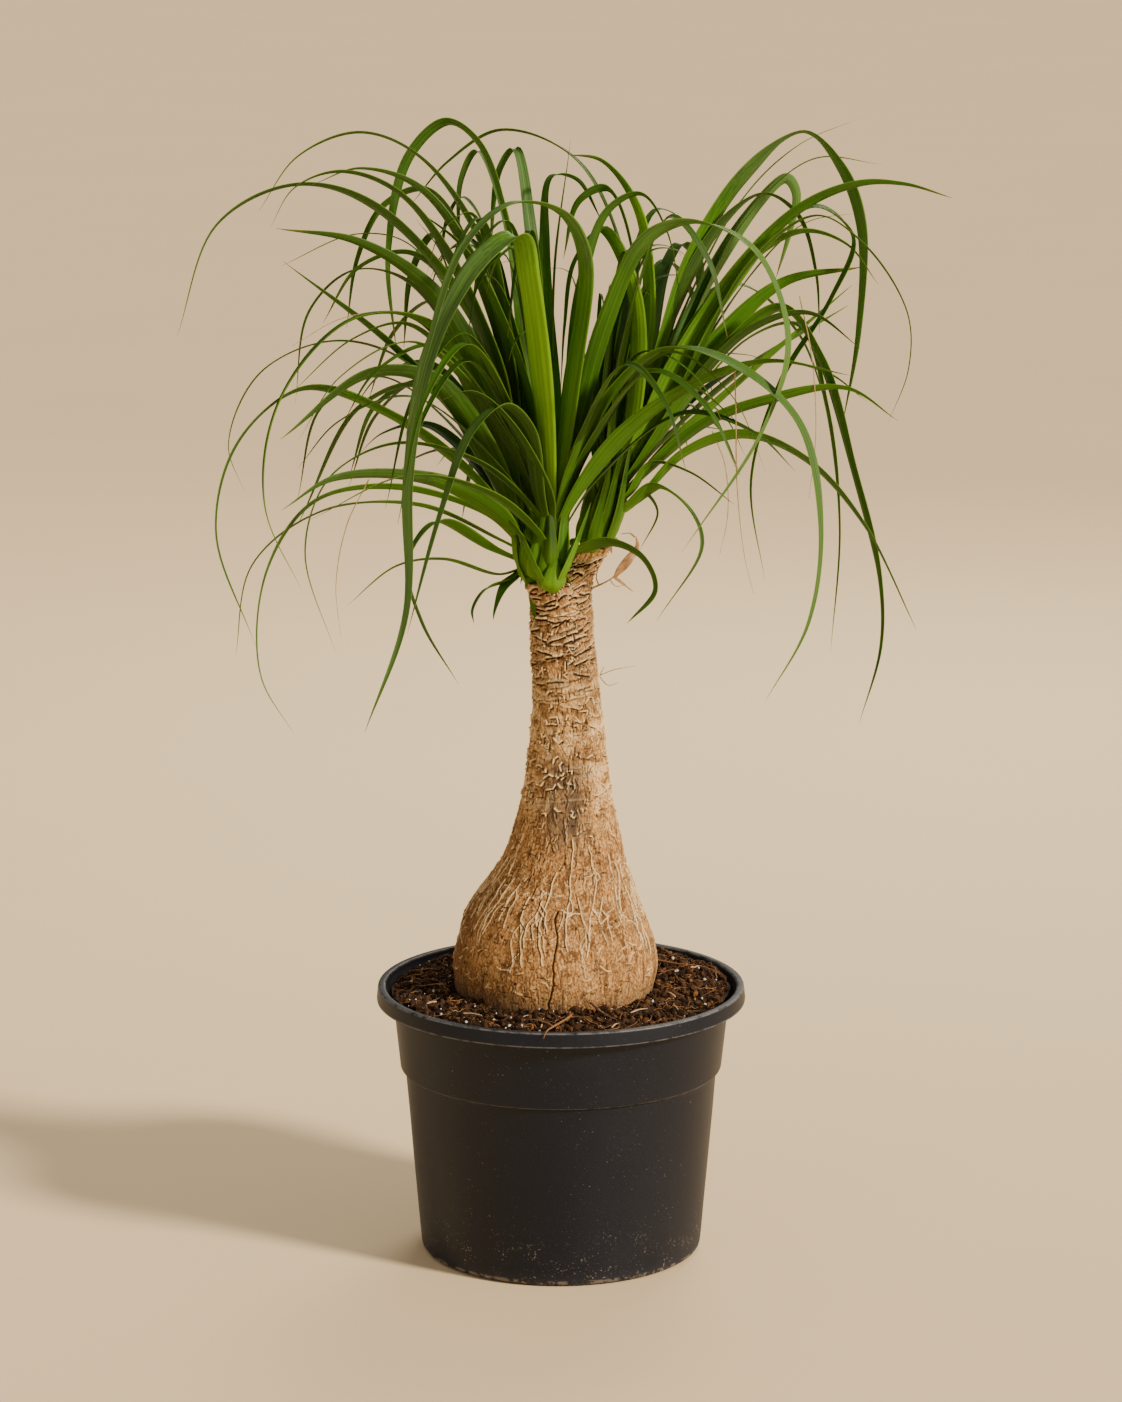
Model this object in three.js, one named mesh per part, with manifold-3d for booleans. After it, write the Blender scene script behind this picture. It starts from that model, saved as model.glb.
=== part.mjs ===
// A young ponytail palm in a round nursery pot: a swollen corky trunk stands in a filled pot and
// forks into two crowns of arching strap leaves. Millimetres, +Z up. The pot stands on z = 0 with
// its axis on the origin, and the plant is seen from -Y.
import * as THREE from 'three';
import { mergeVertices } from 'three/addons/utils/BufferGeometryUtils.js';
import Module from 'manifold-3d';

const wasm = await Module();
wasm.setup();

// ---- driving sizes ----
const fitGap = 0.3;

const potHeight = 177;
const rimRadius = 120;
const rimWidth = 6.6;
const skirtDrop = 10;
const wall = 2;
const shoulderRadius = 109;
const stepHeight = 121;
const stepRadius = 101.6;
const footRadius = 91.5;
const footRound = 5;
const footRingInner = 80;
const recessDepth = 2.5;
const padRadius = 22;
const floorTop = 5;
const drainHoles = 8;
const drainRadius = 6;
const drainCircle = 58;
const potSides = 32;

const soilLevel = 174;
const soilClump = 3;
const soilMound = 2;
const moundTop = 70;
const moundFoot = 110;
const soilRings = [107.2, 97, 86, 74, 40];

const trunkSides = 28;
const forkSides = 20;
const smoothBelow = 182;
const veinTop = 300;
const veinRise = 1.1;
const scarPitch = 10;
const scarStart = 306;
const scarEnd = 433;
const scarRise = 1.3;
const scarTilt = 2.2;

const minWidth = 1.4;
const minDepth = 0.8;
const keelShare = 0.17;
const neckShare = 0.46;
const neckReach = 0.26;
const taperStart = 1.32;
const taperPower = 0.8;
const rootRoll = 0.4;
const rollGain = 1.2;
const bladeShare = 0.36;

// ---- small helpers ----
function seededRandom(seed) {
  let state = seed >>> 0;
  return () => {
    state = (Math.imul(state, 1664525) + 1013904223) >>> 0;
    return state / 4294967296;
  };
}

const between = (random, [low, high]) => low + (high - low) * random();
const clamp = (value, low, high) => Math.min(high, Math.max(low, value));

function smoothstep(low, high, value) {
  const share = clamp((value - low) / (high - low), 0, 1);
  return share * share * (3 - 2 * share);
}

function toSolid(geometry) {
  geometry.deleteAttribute('normal');
  geometry.deleteAttribute('uv');
  const merged = mergeVertices(geometry, 1e-4);
  const vertProperties = new Float32Array(merged.attributes.position.array);
  const triVerts = new Uint32Array(merged.index.array);
  return new wasm.Manifold(new wasm.Mesh({ numProp: 3, vertProperties, triVerts }));
}

function toGeometry(solid) {
  const mesh = solid.getMesh();
  const geometry = new THREE.BufferGeometry();
  geometry.setAttribute('position', new THREE.BufferAttribute(new Float32Array(mesh.vertProperties), 3));
  geometry.setIndex(new THREE.BufferAttribute(new Uint32Array(mesh.triVerts), 1));
  geometry.computeVertexNormals();
  return geometry;
}

function asMesh(name, solid, colour, roughness) {
  const material = new THREE.MeshStandardMaterial({ color: colour, roughness, metalness: 0 });
  const mesh = new THREE.Mesh(toGeometry(solid), material);
  mesh.name = name;
  return mesh;
}

// Rings of points, lowest or first one to last one, skinned into a closed body.
function skinRings(rings) {
  const count = rings[0].length;
  const positions = [];
  const index = [];
  for (const ring of rings) {
    for (const point of ring) positions.push(point.x, point.y, point.z);
  }
  for (let row = 0; row + 1 < rings.length; row += 1) {
    for (let side = 0; side < count; side += 1) {
      const a = row * count + side;
      const b = row * count + (side + 1) % count;
      index.push(a, b, a + count, b, b + count, a + count);
    }
  }
  const last = (rings.length - 1) * count;
  for (let side = 1; side + 1 < count; side += 1) {
    index.push(0, side + 1, side);
    index.push(last, last + side, last + side + 1);
  }
  const geometry = new THREE.BufferGeometry();
  geometry.setAttribute('position', new THREE.BufferAttribute(new Float32Array(positions), 3));
  geometry.setIndex(index);
  return geometry;
}

// A profile of [radius, height] pairs turned about the upright axis.
function turned(profile, sides) {
  const points = profile.map(([radius, height]) => new THREE.Vector2(radius, height));
  const geometry = new THREE.LatheGeometry(points, sides);
  geometry.rotateX(Math.PI / 2);
  return geometry;
}

// ---- pot ----
function potSolid() {
  const rimInner = rimRadius - rimWidth;
  const skirtBottom = potHeight - skirtDrop;
  const body = turned([
    [0, 0],
    [padRadius, 0],
    [padRadius + 2, recessDepth],
    [footRingInner - 2, recessDepth],
    [footRingInner, 0],
    [footRadius - footRound * 0.7, 0],
    [footRadius - footRound * 0.2, footRound * 0.3],
    [footRadius, footRound],
    [stepRadius, stepHeight - 1],
    [stepRadius + 3, stepHeight + 1.5],
    [shoulderRadius, skirtBottom - 1],
    [rimInner + 0.6, potHeight - 4],
    [rimRadius - wall - 0.6, potHeight - 4],
    [rimRadius - wall, skirtBottom],
    [rimRadius, skirtBottom],
    [rimRadius, potHeight - 2.4],
    [rimRadius - 1.2, potHeight - 0.6],
    [rimRadius - rimWidth / 2, potHeight],
    [rimInner + 0.9, potHeight - 0.7],
    [rimInner, potHeight - 2.6],
    [shoulderRadius + 1 - wall, skirtBottom - 2],
    [stepRadius + 3 - wall, stepHeight + 2],
    [stepRadius - wall, stepHeight - 1],
    [footRadius - wall, floorTop + 3],
    [footRadius - wall - 3, floorTop],
    [0, floorTop],
  ], potSides);
  let pot = toSolid(body);
  for (let hole = 0; hole < drainHoles; hole += 1) {
    const angle = (hole + 0.5) * 2 * Math.PI / drainHoles;
    const cutter = new THREE.CylinderGeometry(drainRadius, drainRadius, 4 * floorTop, 10);
    cutter.rotateX(Math.PI / 2);
    cutter.translate(drainCircle * Math.cos(angle), drainCircle * Math.sin(angle), floorTop / 2);
    pot = pot.subtract(toSolid(cutter));
  }
  return pot;
}

// ---- trunk ----
// Stations up the trunk: height, radius, and how far its middle lies across from the pot's axis.
const trunkStations = [
  [134, 20, -4.5],
  [137, 32, -4.5],
  [145, 47, -4.5],
  [157, 58, -4.5],
  [170, 63.3, -4.5],
  [180, 65.2, -4.5],
  [190, 66.3, -4],
  [201, 65.3, -3.7],
  [211, 62.8, -3.8],
  [221, 59.5, -4.2],
  [231, 55, -3.6],
  [243, 49, -1.3],
  [254, 43.2, 1],
  [266, 38.4, 3],
  [286, 32.8, 3.9],
  [313, 27.2, 4.5],
  [344, 23.6, 4.6],
  [380, 21.2, 3],
  [410, 19.8, 0.7],
  [430, 19.2, 0.5],
  [438, 17.6, 2],
  [445, 12, 8.5],
  [454, 11.8, 14],
  [464.5, 12.3, 20.5],
];
// The left fork leaves the trunk in front of the right one.
const leftFork = [
  { at: [1, -3, 424], radius: 16.5 },
  { at: [-5, -8, 436], radius: 15.5 },
  { at: [-9, -10, 444.7], radius: 14 },
];
const forkTurnStart = 425;
const forkBack = 8;

// Smooth value of one column of the stations at a height.
function trunkValue(height, column) {
  const rows = trunkStations;
  let row = 0;
  while (row < rows.length - 2 && height > rows[row + 1][0]) row += 1;
  const slopeAt = (i) => {
    const low = rows[Math.max(0, i - 1)];
    const high = rows[Math.min(rows.length - 1, i + 1)];
    return (high[column] - low[column]) / (high[0] - low[0]);
  };
  const [from, to] = [rows[row], rows[row + 1]];
  const span = to[0] - from[0];
  const t = clamp((height - from[0]) / span, 0, 1);
  const t2 = t * t;
  const t3 = t2 * t;
  return (2 * t3 - 3 * t2 + 1) * from[column] + (t3 - 2 * t2 + t) * span * slopeAt(row)
    + (3 * t2 - 2 * t3) * to[column] + (t3 - t2) * span * slopeAt(row + 1);
}

function trunkCentre(height) {
  const back = forkBack * smoothstep(forkTurnStart, 471, height);
  return new THREE.Vector3(trunkValue(height, 2), back, height);
}

function trunkRing(height, lift, tilt, growth = 0) {
  const centre = trunkCentre(height);
  const radius = trunkValue(height, 1);
  const ring = [];
  for (let side = 0; side < trunkSides; side += 1) {
    const angle = side * 2 * Math.PI / trunkSides;
    const vein = (side % 2 ? -0.35 : 0.65) * veinRise * smoothstep(smoothBelow, 196, height)
      * (1 - smoothstep(veinTop - 70, veinTop, height));
    const reach = radius + growth + lift(side) + vein;
    ring.push(new THREE.Vector3(
      centre.x + reach * Math.cos(angle),
      centre.y + reach * Math.sin(angle),
      height + tilt * Math.cos(angle),
    ));
  }
  return ring;
}

function trunkSolid() {
  const random = seededRandom(11);
  const rings = [];
  const plain = () => 0;
  for (const [height] of trunkStations) {
    if (height < scarStart - 12) rings.push(trunkRing(height, plain, 0));
  }
  // Leaf scars: each ring of old leaf bases ends in a raised lip over a groove.
  const scars = Math.round((scarEnd - scarStart) / scarPitch);
  for (let scar = 0; scar <= scars; scar += 1) {
    const height = scarStart + scar * scarPitch;
    const rise = scarRise * smoothstep(scarStart - 20, scarStart + 50, height);
    const tilt = scarTilt * Math.sin(scar * 1.7) + scarTilt * 0.6;
    const rough = Array.from({ length: trunkSides }, () => 0.6 + 0.8 * random());
    rings.push(trunkRing(height - 2.2, (side) => -0.5 * rise * rough[side], tilt));
    rings.push(trunkRing(height, (side) => rise * rough[side], tilt));
  }
  for (const [height] of trunkStations) {
    if (height > scarEnd + 2) rings.push(trunkRing(height, plain, 0));
  }
  const fork = leftFork.map(({ at: [x, y, z], radius }) => {
    const ring = [];
    for (let side = 0; side < forkSides; side += 1) {
      const angle = side * 2 * Math.PI / forkSides;
      ring.push(new THREE.Vector3(x + radius * Math.cos(angle), y + radius * Math.sin(angle), z));
    }
    return ring;
  });
  return toSolid(skinRings(rings)).add(toSolid(skinRings(fork)));
}

// ---- soil ----
function soilSolid() {
  const random = seededRandom(23);
  const skin = fitGap;
  const profile = [
    [0, floorTop + skin],
    [footRadius - wall - 3.4, floorTop + skin],
    [footRadius - wall - skin, floorTop + 3 + skin],
    [stepRadius - wall - skin, stepHeight - 1 + skin],
    [stepRadius + 3 - wall - skin, stepHeight + 2 + skin],
    [shoulderRadius - wall - skin, potHeight - skirtDrop - 5],
  ];
  const rings = [];
  for (const [radius, height] of profile.slice(1)) {
    rings.push({ radius, height, rough: 0 });
  }
  for (const radius of soilRings) {
    const mound = soilMound * (1 - smoothstep(moundTop, moundFoot, radius));
    rings.push({ radius, height: soilLevel + mound, rough: soilClump });
  }
  const skinned = rings.map(({ radius, height, rough }) => {
    const ring = [];
    for (let side = 0; side < potSides; side += 1) {
      const angle = side * 2 * Math.PI / potSides;
      const backRight = 2 * Math.max(0, Math.cos(angle - Math.PI / 4));
      const level = rough ? backRight + rough * (random() - 0.5) : 0;
      ring.push(new THREE.Vector3(radius * Math.cos(angle), radius * Math.sin(angle), height + level));
    }
    return ring;
  });
  const filling = toSolid(skinRings(skinned));
  const pit = trunkStations.filter(([height]) => height <= 201)
    .map(([height]) => trunkRing(height - fitGap, () => 0, 0, fitGap));
  return filling.subtract(toSolid(skinRings(pit)));
}

// ---- leaves ----
// Each crown's middle, where its leaves part. The left fork carries two crowns side by side.
const crownBase = {
  left: [-20, 2, 452],
  front: [-6, -11, 450],
  right: [24, 8, 470],
};
// The clasping leaf bases that each crown grows from, bottom to top.
const crownCore = {
  left: [[-15, -5, 446, 8], [-20, 0, 455, 11], [-25, 3, 475, 8], [-29, 4, 500, 3]],
  front: [[-10, -11, 445, 10.5], [-8, -12.5, 453, 12.5], [-6, -12.5, 476, 9], [-5, -13, 505, 3.5]],
  right: [[20.8, 8, 464.8, 11.8], [24, 8, 474, 13], [29, 8, 497, 9], [34, 8, 524, 3.5]],
};
const coreSides = 8;

// Leaves that stand out in the view: the crown each grows from, how far its tip reaches toward the
// viewer, its width, its roll in degrees, and places that it passes, across and up from the origin.
const leafRoutes = {
  farLeftArch: ['left', 40, 14, 27, [[-45, 595], [-115, 685], [-165, 700], [-215, 675], [-240, 605]]],
  highLeftArch: ['left', 5, 13, 25, [[-40, 635], [-85, 712], [-125, 730], [-165, 715], [-190, 680]]],
  leftArchLow: ['left', 60, 13, 30, [[-45, 600], [-95, 692], [-135, 710], [-165, 700], [-180, 675]]],
  leftArchBroad: ['left', 30, 14, 45, [[-40, 610], [-85, 695], [-125, 710], [-155, 700]]],
  leftSpear: ['left', 75, 17, 60, [[-45, 565], [-80, 635], [-125, 668], [-175, 678]]],
  leftWisp: ['left', -40, 9, 15, [[-55, 590], [-95, 655], [-130, 662], [-180, 640]]],
  leftStiff: ['left', 15, 12, 40, [[-50, 530], [-100, 590], [-175, 650]]],
  leftHook: ['left', -15, 11, 25, [[-50, 560], [-95, 633], [-130, 642], [-160, 615], [-170, 555]]],
  leftSweep: ['left', 85, 13, 38, [[-45, 545], [-85, 615], [-130, 618], [-175, 570], [-185, 505],
    [-160, 450]]],
  leftRibbon: ['left', 50, 12, 20, [[-50, 560], [-95, 613], [-130, 605], [-168, 572]]],
  leftDark: ['left', 65, 18, 60, [[-45, 525], [-80, 578], [-120, 584], [-175, 545]]],
  lowArchLong: ['left', 95, 11, 38, [[-50, 508], [-105, 555], [-160, 575], [-200, 545], [-215, 490],
    [-190, 420]]],
  lowArchThin: ['left', 25, 9, 15, [[-50, 530], [-100, 588], [-145, 600], [-190, 580], [-210, 535],
    [-200, 505]]],
  lowRibbon: ['left', 110, 15, 55, [[-40, 492], [-80, 518], [-140, 525], [-172, 508]]],
  lowFall: ['left', 60, 11, 20, [[-40, 472], [-90, 496], [-150, 495], [-195, 462], [-205, 405]]],
  lowDrop: ['left', 100, 10, 38, [[-48, 490], [-105, 510], [-155, 503], [-185, 460], [-188, 400],
    [-165, 362]]],
  leftCurl: ['left', -25, 10, 35, [[-50, 525], [-90, 567], [-130, 552], [-170, 475]]],
  leftThread: ['left', -60, 8, 15, [[-60, 530], [-115, 570], [-155, 548], [-172, 485]]],
  leftShort: ['left', -35, 10, 32, [[-50, 520], [-85, 568], [-118, 553], [-136, 505]]],
  skirtLong: ['left', 60, 11, 30, [[-42, 465], [-78, 486], [-97, 462], [-88, 425], [-65, 388]]],
  skirtLow: ['left', 40, 10, 20, [[-40, 449], [-75, 461], [-105, 458], [-136, 434]]],
  skirtCurl: ['left', 35, 12, 28, [[-34, 446], [-48, 442], [-56, 430], [-55, 422]]],
  skirtShort: ['left', 34, 11, 20, [[-26, 450], [-36, 443], [-42, 430], [-43, 424]]],
  leftUpright: ['left', -20, 12, 30, [[-45, 510], [-62, 590], [-75, 650], [-92, 673]]],
  backHook: ['left', -60, 13, 30, [[-42, 560], [-68, 640], [-82, 660], [-96, 635], [-101, 585]]],
  innerHook: ['left', -35, 12, 42, [[-32, 570], [-45, 660], [-63, 686], [-73, 670], [-76, 640]]],
  frontFold: ['front', 150, 19, 0, [[-10, 560], [-20, 645], [-27, 674], [-50, 660], [-80, 605], [-93, 530],
    [-95, 450], [-120, 380]]],
  frontFoldTwin: ['front', 105, 14, 0, [[6, 570], [14, 660], [0, 687], [-30, 694], [-60, 668], [-82, 605],
    [-95, 555]]],
  topArch: ['front', -45, 16, 36, [[-15, 560], [-32, 665], [-52, 722], [-72, 735], [-97, 712], [-110, 650],
    [-105, 588]]],
  topBack: ['front', -90, 14, 5, [[-10, 560], [-20, 665], [-30, 714], [-40, 700], [-46, 640]]],
  topBackLeft: ['front', -70, 13, 10, [[-20, 565], [-37, 680], [-53, 714], [-64, 695], [-66, 640]]],
  topBackRight: ['front', -60, 15, 10, [[-6, 560], [-10, 655], [-6, 698], [10, 696], [26, 668]]],
  youngSpear: ['front', -5, 10, 10, [[-6, 560], [-4, 650], [6, 725]]],
  frontDroop: ['front', 95, 12, 15, [[-14, 505], [-22, 550], [-37, 565], [-56, 550], [-75, 500],
    [-95, 430]]],
  frontLeft: ['front', 60, 9, 15, [[-8, 505], [-32, 555], [-55, 575], [-80, 568]]],
  leftReach: ['front', 75, 9, 25, [[-18, 495], [-55, 528], [-105, 540], [-145, 520], [-160, 475],
    [-140, 412]]],
  leftReachLow: ['front', 120, 10, 20, [[-16, 482], [-45, 510], [-95, 527], [-155, 505]]],
  rightGreatArch: ['front', 90, 14, 15, [[6, 530], [28, 615], [55, 670], [85, 680], [120, 663], [140, 610],
    [125, 555], [75, 480]]],
  rightFountain: ['front', 125, 14, 5, [[6, 520], [32, 573], [66, 602], [105, 595], [147, 560], [160, 500],
    [152, 440], [125, 393]]],
  rightBroad: ['front', 70, 14, 45, [[10, 505], [45, 550], [90, 582], [130, 595], [178, 588]]],
  rightSmall: ['front', 45, 11, 20, [[14, 535], [32, 575], [57, 586], [85, 575], [122, 543]]],
  lowRightCurl: ['front', 25, 11, 60, [[10, 466], [32, 472], [52, 463], [60, 443], [42, 422]]],
  centreLeft: ['front', 20, 11, 30, [[-14, 540], [-32, 605], [-60, 660], [-95, 688]]],
  crossTop: ['right', -60, 13, 20, [[46, 555], [38, 655], [8, 710], [-38, 726], [-72, 705], [-95, 678]]],
  crossShort: ['right', -15, 17, 72, [[50, 560], [56, 630], [48, 680], [26, 709], [4, 713]]],
  crossBroad: ['right', -35, 15, 55, [[45, 560], [48, 640], [30, 690], [12, 682], [2, 645]]],
  crossFront: ['right', 30, 13, 18, [[46, 550], [46, 630], [25, 670], [8, 650], [2, 610], [0, 570]]],
  greatRight: ['right', -15, 19, 55, [[50, 545], [80, 642], [115, 700], [153, 729], [177, 706],
    [191, 668], [190, 600], [180, 540]]],
  rightLoop: ['right', 20, 14, 40, [[56, 545], [115, 645], [160, 684], [184, 665], [170, 625], [140, 575],
    [121, 510], [130, 445]]],
  rightThread: ['right', -45, 9, 15, [[62, 560], [115, 668], [160, 708], [205, 704]]],
  rightSpearTop: ['right', -30, 9, 15, [[55, 560], [110, 678], [150, 718], [190, 735]]],
  rightFold: ['right', -55, 18, 75, [[55, 550], [95, 635], [128, 682], [144, 695], [150, 686],
    [147, 664], [138, 630]]],
  rightFar: ['right', 25, 17, 55, [[52, 540], [95, 618], [145, 680], [185, 699], [215, 699], [245, 690]]],
  rightRim: ['right', 45, 10, 15, [[62, 540], [118, 648], [160, 680], [190, 662], [217, 620], [218, 585],
    [205, 550]]],
  rightStraight: ['right', 5, 20, 68, [[48, 525], [95, 592], [140, 635], [190, 645]]],
  rightWisp: ['right', -35, 9, 15, [[65, 548], [120, 635], [155, 668], [188, 674]]],
  rightLongDrop: ['right', 35, 14, 40, [[55, 525], [102, 592], [140, 620], [163, 590], [185, 520],
    [203, 450], [204, 405], [190, 355]]],
  rightTip: ['right', -20, 13, 45, [[60, 520], [115, 570], [185, 630]]],
  rightTipLow: ['right', -50, 12, 45, [[55, 520], [115, 573], [185, 613]]],
  rightPaleDrop: ['right', -30, 9, 15, [[62, 532], [120, 598], [152, 605], [170, 555], [180, 475],
    [175, 390]]],
  rightLevel: ['right', 30, 14, 45, [[50, 510], [88, 545], [130, 562], [180, 570], [212, 550]]],
  rightLowSweep: ['right', 50, 12, 40, [[48, 495], [78, 527], [115, 540], [155, 525], [192, 485],
    [225, 420]]],
  lowHook: ['right', 30, 12, 32, [[43, 492], [62, 505], [82, 492], [90, 468], [60, 420]]],
  lowTwist: ['right', 10, 9, 30, [[40, 488], [53, 500], [62, 488], [50, 463]]],
  rightStub: ['right', 20, 10, 28, [[44, 500], [58, 520], [82, 515], [110, 495]]],
  rightInnerArch: ['right', -10, 15, 45, [[48, 545], [74, 622], [103, 672], [128, 690], [150, 676],
    [162, 640], [165, 600]]],
  rightDarkFold: ['right', -110, 18, 15, [[46, 540], [58, 598], [68, 636], [78, 650], [88, 642],
    [92, 612], [92, 580]]],
  rightMidArch: ['right', 15, 14, 42, [[50, 540], [84, 606], [120, 650], [152, 668], [180, 660],
    [200, 635]]],
  rightUnder: ['right', 30, 12, 45, [[50, 520], [84, 572], [120, 608], [156, 618], [188, 596]]],
  centreRightArch: ['front', 25, 12, 30, [[4, 560], [14, 640], [30, 684], [50, 694], [66, 672],
    [76, 620]]],
  leftInnerArch: ['left', 10, 13, 40, [[-38, 560], [-62, 625], [-95, 655], [-128, 645], [-150, 610]]],
  leftDeepArch: ['left', -45, 12, 35, [[-36, 580], [-58, 655], [-85, 690], [-112, 680], [-130, 645],
    [-138, 600]]],
};

// Leaves that turn edge-on where they fold over, and hang less broad beyond the fold.
const foldedLeaves = ['greatRight', 'rightLoop', 'rightInnerArch', 'leftSweep', 'innerHook', 'leftHook'];
const foldSpan = 0.07;
const foldTurn = 0.9;
const foldHang = 0.4;
const foldReach = 0.15;

// A withered leaf and its torn strips still hang on the trunk below the right crown: width, roll
// and the places that each strip passes.
const dryStrips = [
  [7, 30, [[20, -2, 439], [34, -4, 448], [43, -5, 458], [48.5, -6, 470], [45, -7, 474]]],
  [5, -20, [[32, -3.5, 447], [38, -6, 443], [46, -7, 437]]],
  [4, 10, [[23, -3, 441.5], [21.5, -8, 447], [23, -9, 456]]],
];

// The rest fill each crown by rule. Angles are in degrees about the crown, 0 to the right and 90 to
// the back; reach, bend and tip heights are from the crown's middle.
const leafFill = [
  { crown: 'left', count: 7, facing: [86, 150], reach: [150, 215], bend: [110, 190], tip: [30, 110],
    width: [9, 13], seed: 101 },
  { crown: 'left', count: 5, facing: [95, 165], reach: [90, 150], bend: [60, 110], tip: [10, 60],
    width: [9, 12], seed: 102 },
  { crown: 'left', count: 6, facing: [120, 235], reach: [40, 90], bend: [180, 245], tip: [130, 190],
    width: [7, 10], seed: 103 },
  { crown: 'front', count: 6, facing: [194, 238], reach: [120, 185], bend: [120, 185], tip: [40, 110],
    width: [7, 10], seed: 104 },
  { crown: 'front', count: 5, facing: [300, 344], reach: [100, 165], bend: [110, 165], tip: [60, 110],
    width: [7, 10], seed: 105 },
  { crown: 'front', count: 6, facing: [200, 280], reach: [30, 80], bend: [170, 240], tip: [130, 190],
    width: [7, 10], seed: 106 },
  { crown: 'right', count: 8, facing: [30, 96], reach: [150, 215], bend: [100, 180], tip: [20, 100],
    width: [9, 13], seed: 107 },
  { crown: 'right', count: 5, facing: [10, 85], reach: [90, 150], bend: [50, 100], tip: [10, 50],
    width: [10, 14], seed: 108 },
  { crown: 'right', count: 6, facing: [-60, 60], reach: [40, 95], bend: [165, 225], tip: [120, 180],
    width: [9, 13], seed: 109 },
  { crown: 'right', count: 6, facing: [-70, -30], reach: [110, 180], bend: [90, 150], tip: [45, 95],
    width: [9, 12], seed: 110 },
  { crown: 'front', count: 7, facing: [170, 330], reach: [25, 60], bend: [150, 215], tip: [140, 205],
    width: [6, 9], seed: 111 },
  { crown: 'right', count: 6, facing: [180, 330], reach: [20, 50], bend: [150, 200], tip: [140, 190],
    width: [6, 9], seed: 112 },
];
const gentleTurn = 29;
const sharpTurn = 66;
const seatHeight = 30;
const seatRadius = 5;
const clearance = 2.5;

// The part that a leaf's steepness plays in how high up the crown's middle it grows.
function leafRoot(crown, toward) {
  const [x, y, z] = crownBase[crown];
  const across = Math.hypot(toward.x - x, toward.y - y);
  const steep = clamp((Math.atan2(toward.z - z, across) * 180 / Math.PI - 20) / 65, 0, 1);
  const out = seatRadius * (1 - steep) / Math.max(across, 1);
  const lean = crown === 'left' ? -0.15 : crown === 'right' ? 0.15 : 0;
  const rise = seatHeight * steep;
  return new THREE.Vector3(x + (toward.x - x) * out + lean * rise, y + (toward.y - y) * out, z + rise);
}

function routedLeaf([name, [crown, toward, width, roll, places]]) {
  const [x, y, z] = crownBase[crown];
  const flat = [[x, z], ...places];
  const run = [0];
  for (let i = 1; i < flat.length; i += 1) {
    run.push(run[i - 1] + Math.hypot(flat[i][0] - flat[i - 1][0], flat[i][1] - flat[i - 1][1]));
  }
  const total = run[run.length - 1];
  const points = flat.slice(1).map(([across, up], i) => (
    new THREE.Vector3(across, y - toward * run[i + 1] / total, up)
  ));
  points.unshift(leafRoot(crown, points[0]));
  return { crown, width, roll, points, folded: foldedLeaves.includes(name) };
}

function filledLeaves({ crown, count, facing, reach, bend, tip, width, seed }) {
  const random = seededRandom(seed);
  const leaves = [];
  for (let i = 0; i < count; i += 1) {
    const share = (i + 0.2 + 0.6 * random()) / count;
    const angle = (facing[0] + (facing[1] - facing[0]) * share) * Math.PI / 180;
    const out = between(random, reach);
    const top = between(random, bend);
    const end = Math.min(between(random, tip), top - 5);
    const sway = 14 * (random() - 0.5);
    const [x, y, z] = crownBase[crown];
    const place = (share2, height, sideways) => new THREE.Vector3(
      x + out * share2 * Math.cos(angle) - sway * sideways * Math.sin(angle),
      y + out * share2 * Math.sin(angle) + sway * sideways * Math.cos(angle),
      z + height,
    );
    const points = [
      place(0.2, 0.58 * top, 0),
      place(0.55, 0.97 * top, 0.2),
      place(0.84, 0.62 * top + 0.38 * end, 0.6),
      place(1, end, 1),
    ];
    points.unshift(leafRoot(crown, points[0]));
    const roll = 50 * (random() - 0.5);
    leaves.push({ crown, width: between(random, width), roll, points });
  }
  return leaves;
}

// A smooth curve through the points, in spans; at(u) takes 0 at the root to the number of spans.
function leafCurve(points) {
  const spans = points.length - 1;
  const before = points[0].clone().multiplyScalar(2).sub(points[1]);
  const after = points[spans].clone().multiplyScalar(2).sub(points[spans - 1]);
  const all = [before, ...points, after];
  return (u) => {
    const span = Math.min(Math.floor(u), spans - 1);
    const t = u - span;
    const [a, b, c, d] = all.slice(span, span + 4);
    const gap = [a.distanceTo(b), b.distanceTo(c), c.distanceTo(d)].map(Math.sqrt);
    const slope = (p, q, r, first, second) => (
      q.clone().sub(p).divideScalar(first)
        .sub(r.clone().sub(p).divideScalar(first + second))
        .add(r.clone().sub(q).divideScalar(second))
    );
    const start = slope(a, b, c, gap[0], gap[1]).multiplyScalar(gap[1]);
    const finish = slope(b, c, d, gap[1], gap[2]).multiplyScalar(gap[1]);
    const t2 = t * t;
    const t3 = t2 * t;
    return b.clone().multiplyScalar(2 * t3 - 3 * t2 + 1)
      .addScaledVector(start, t3 - 2 * t2 + t)
      .addScaledVector(c, 3 * t2 - 2 * t3)
      .addScaledVector(finish, t3 - t2);
  };
}

function leafWidth(width, share) {
  const neck = neckShare + (1 - neckShare) * smoothstep(0, neckReach, share);
  const taper = Math.min(1, taperStart * Math.max(0, 1 - share) ** taperPower);
  return Math.max(minWidth, width * neck * taper);
}

// Stops along the curve: more of them where a span turns more, in degrees.
function curveStops(at, spans) {
  const heading = (u) => at(Math.min(u + 0.05, spans)).sub(at(Math.max(u - 0.05, 0)));
  const stops = [0];
  for (let span = 0; span < spans; span += 1) {
    const turn = heading(span).angleTo(heading(span + 1)) * 180 / Math.PI;
    const steps = turn < gentleTurn ? 1 : turn < sharpTurn ? 2 : 3;
    for (let step = 1; step <= steps; step += 1) stops.push(span + step / steps);
  }
  return stops;
}

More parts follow.
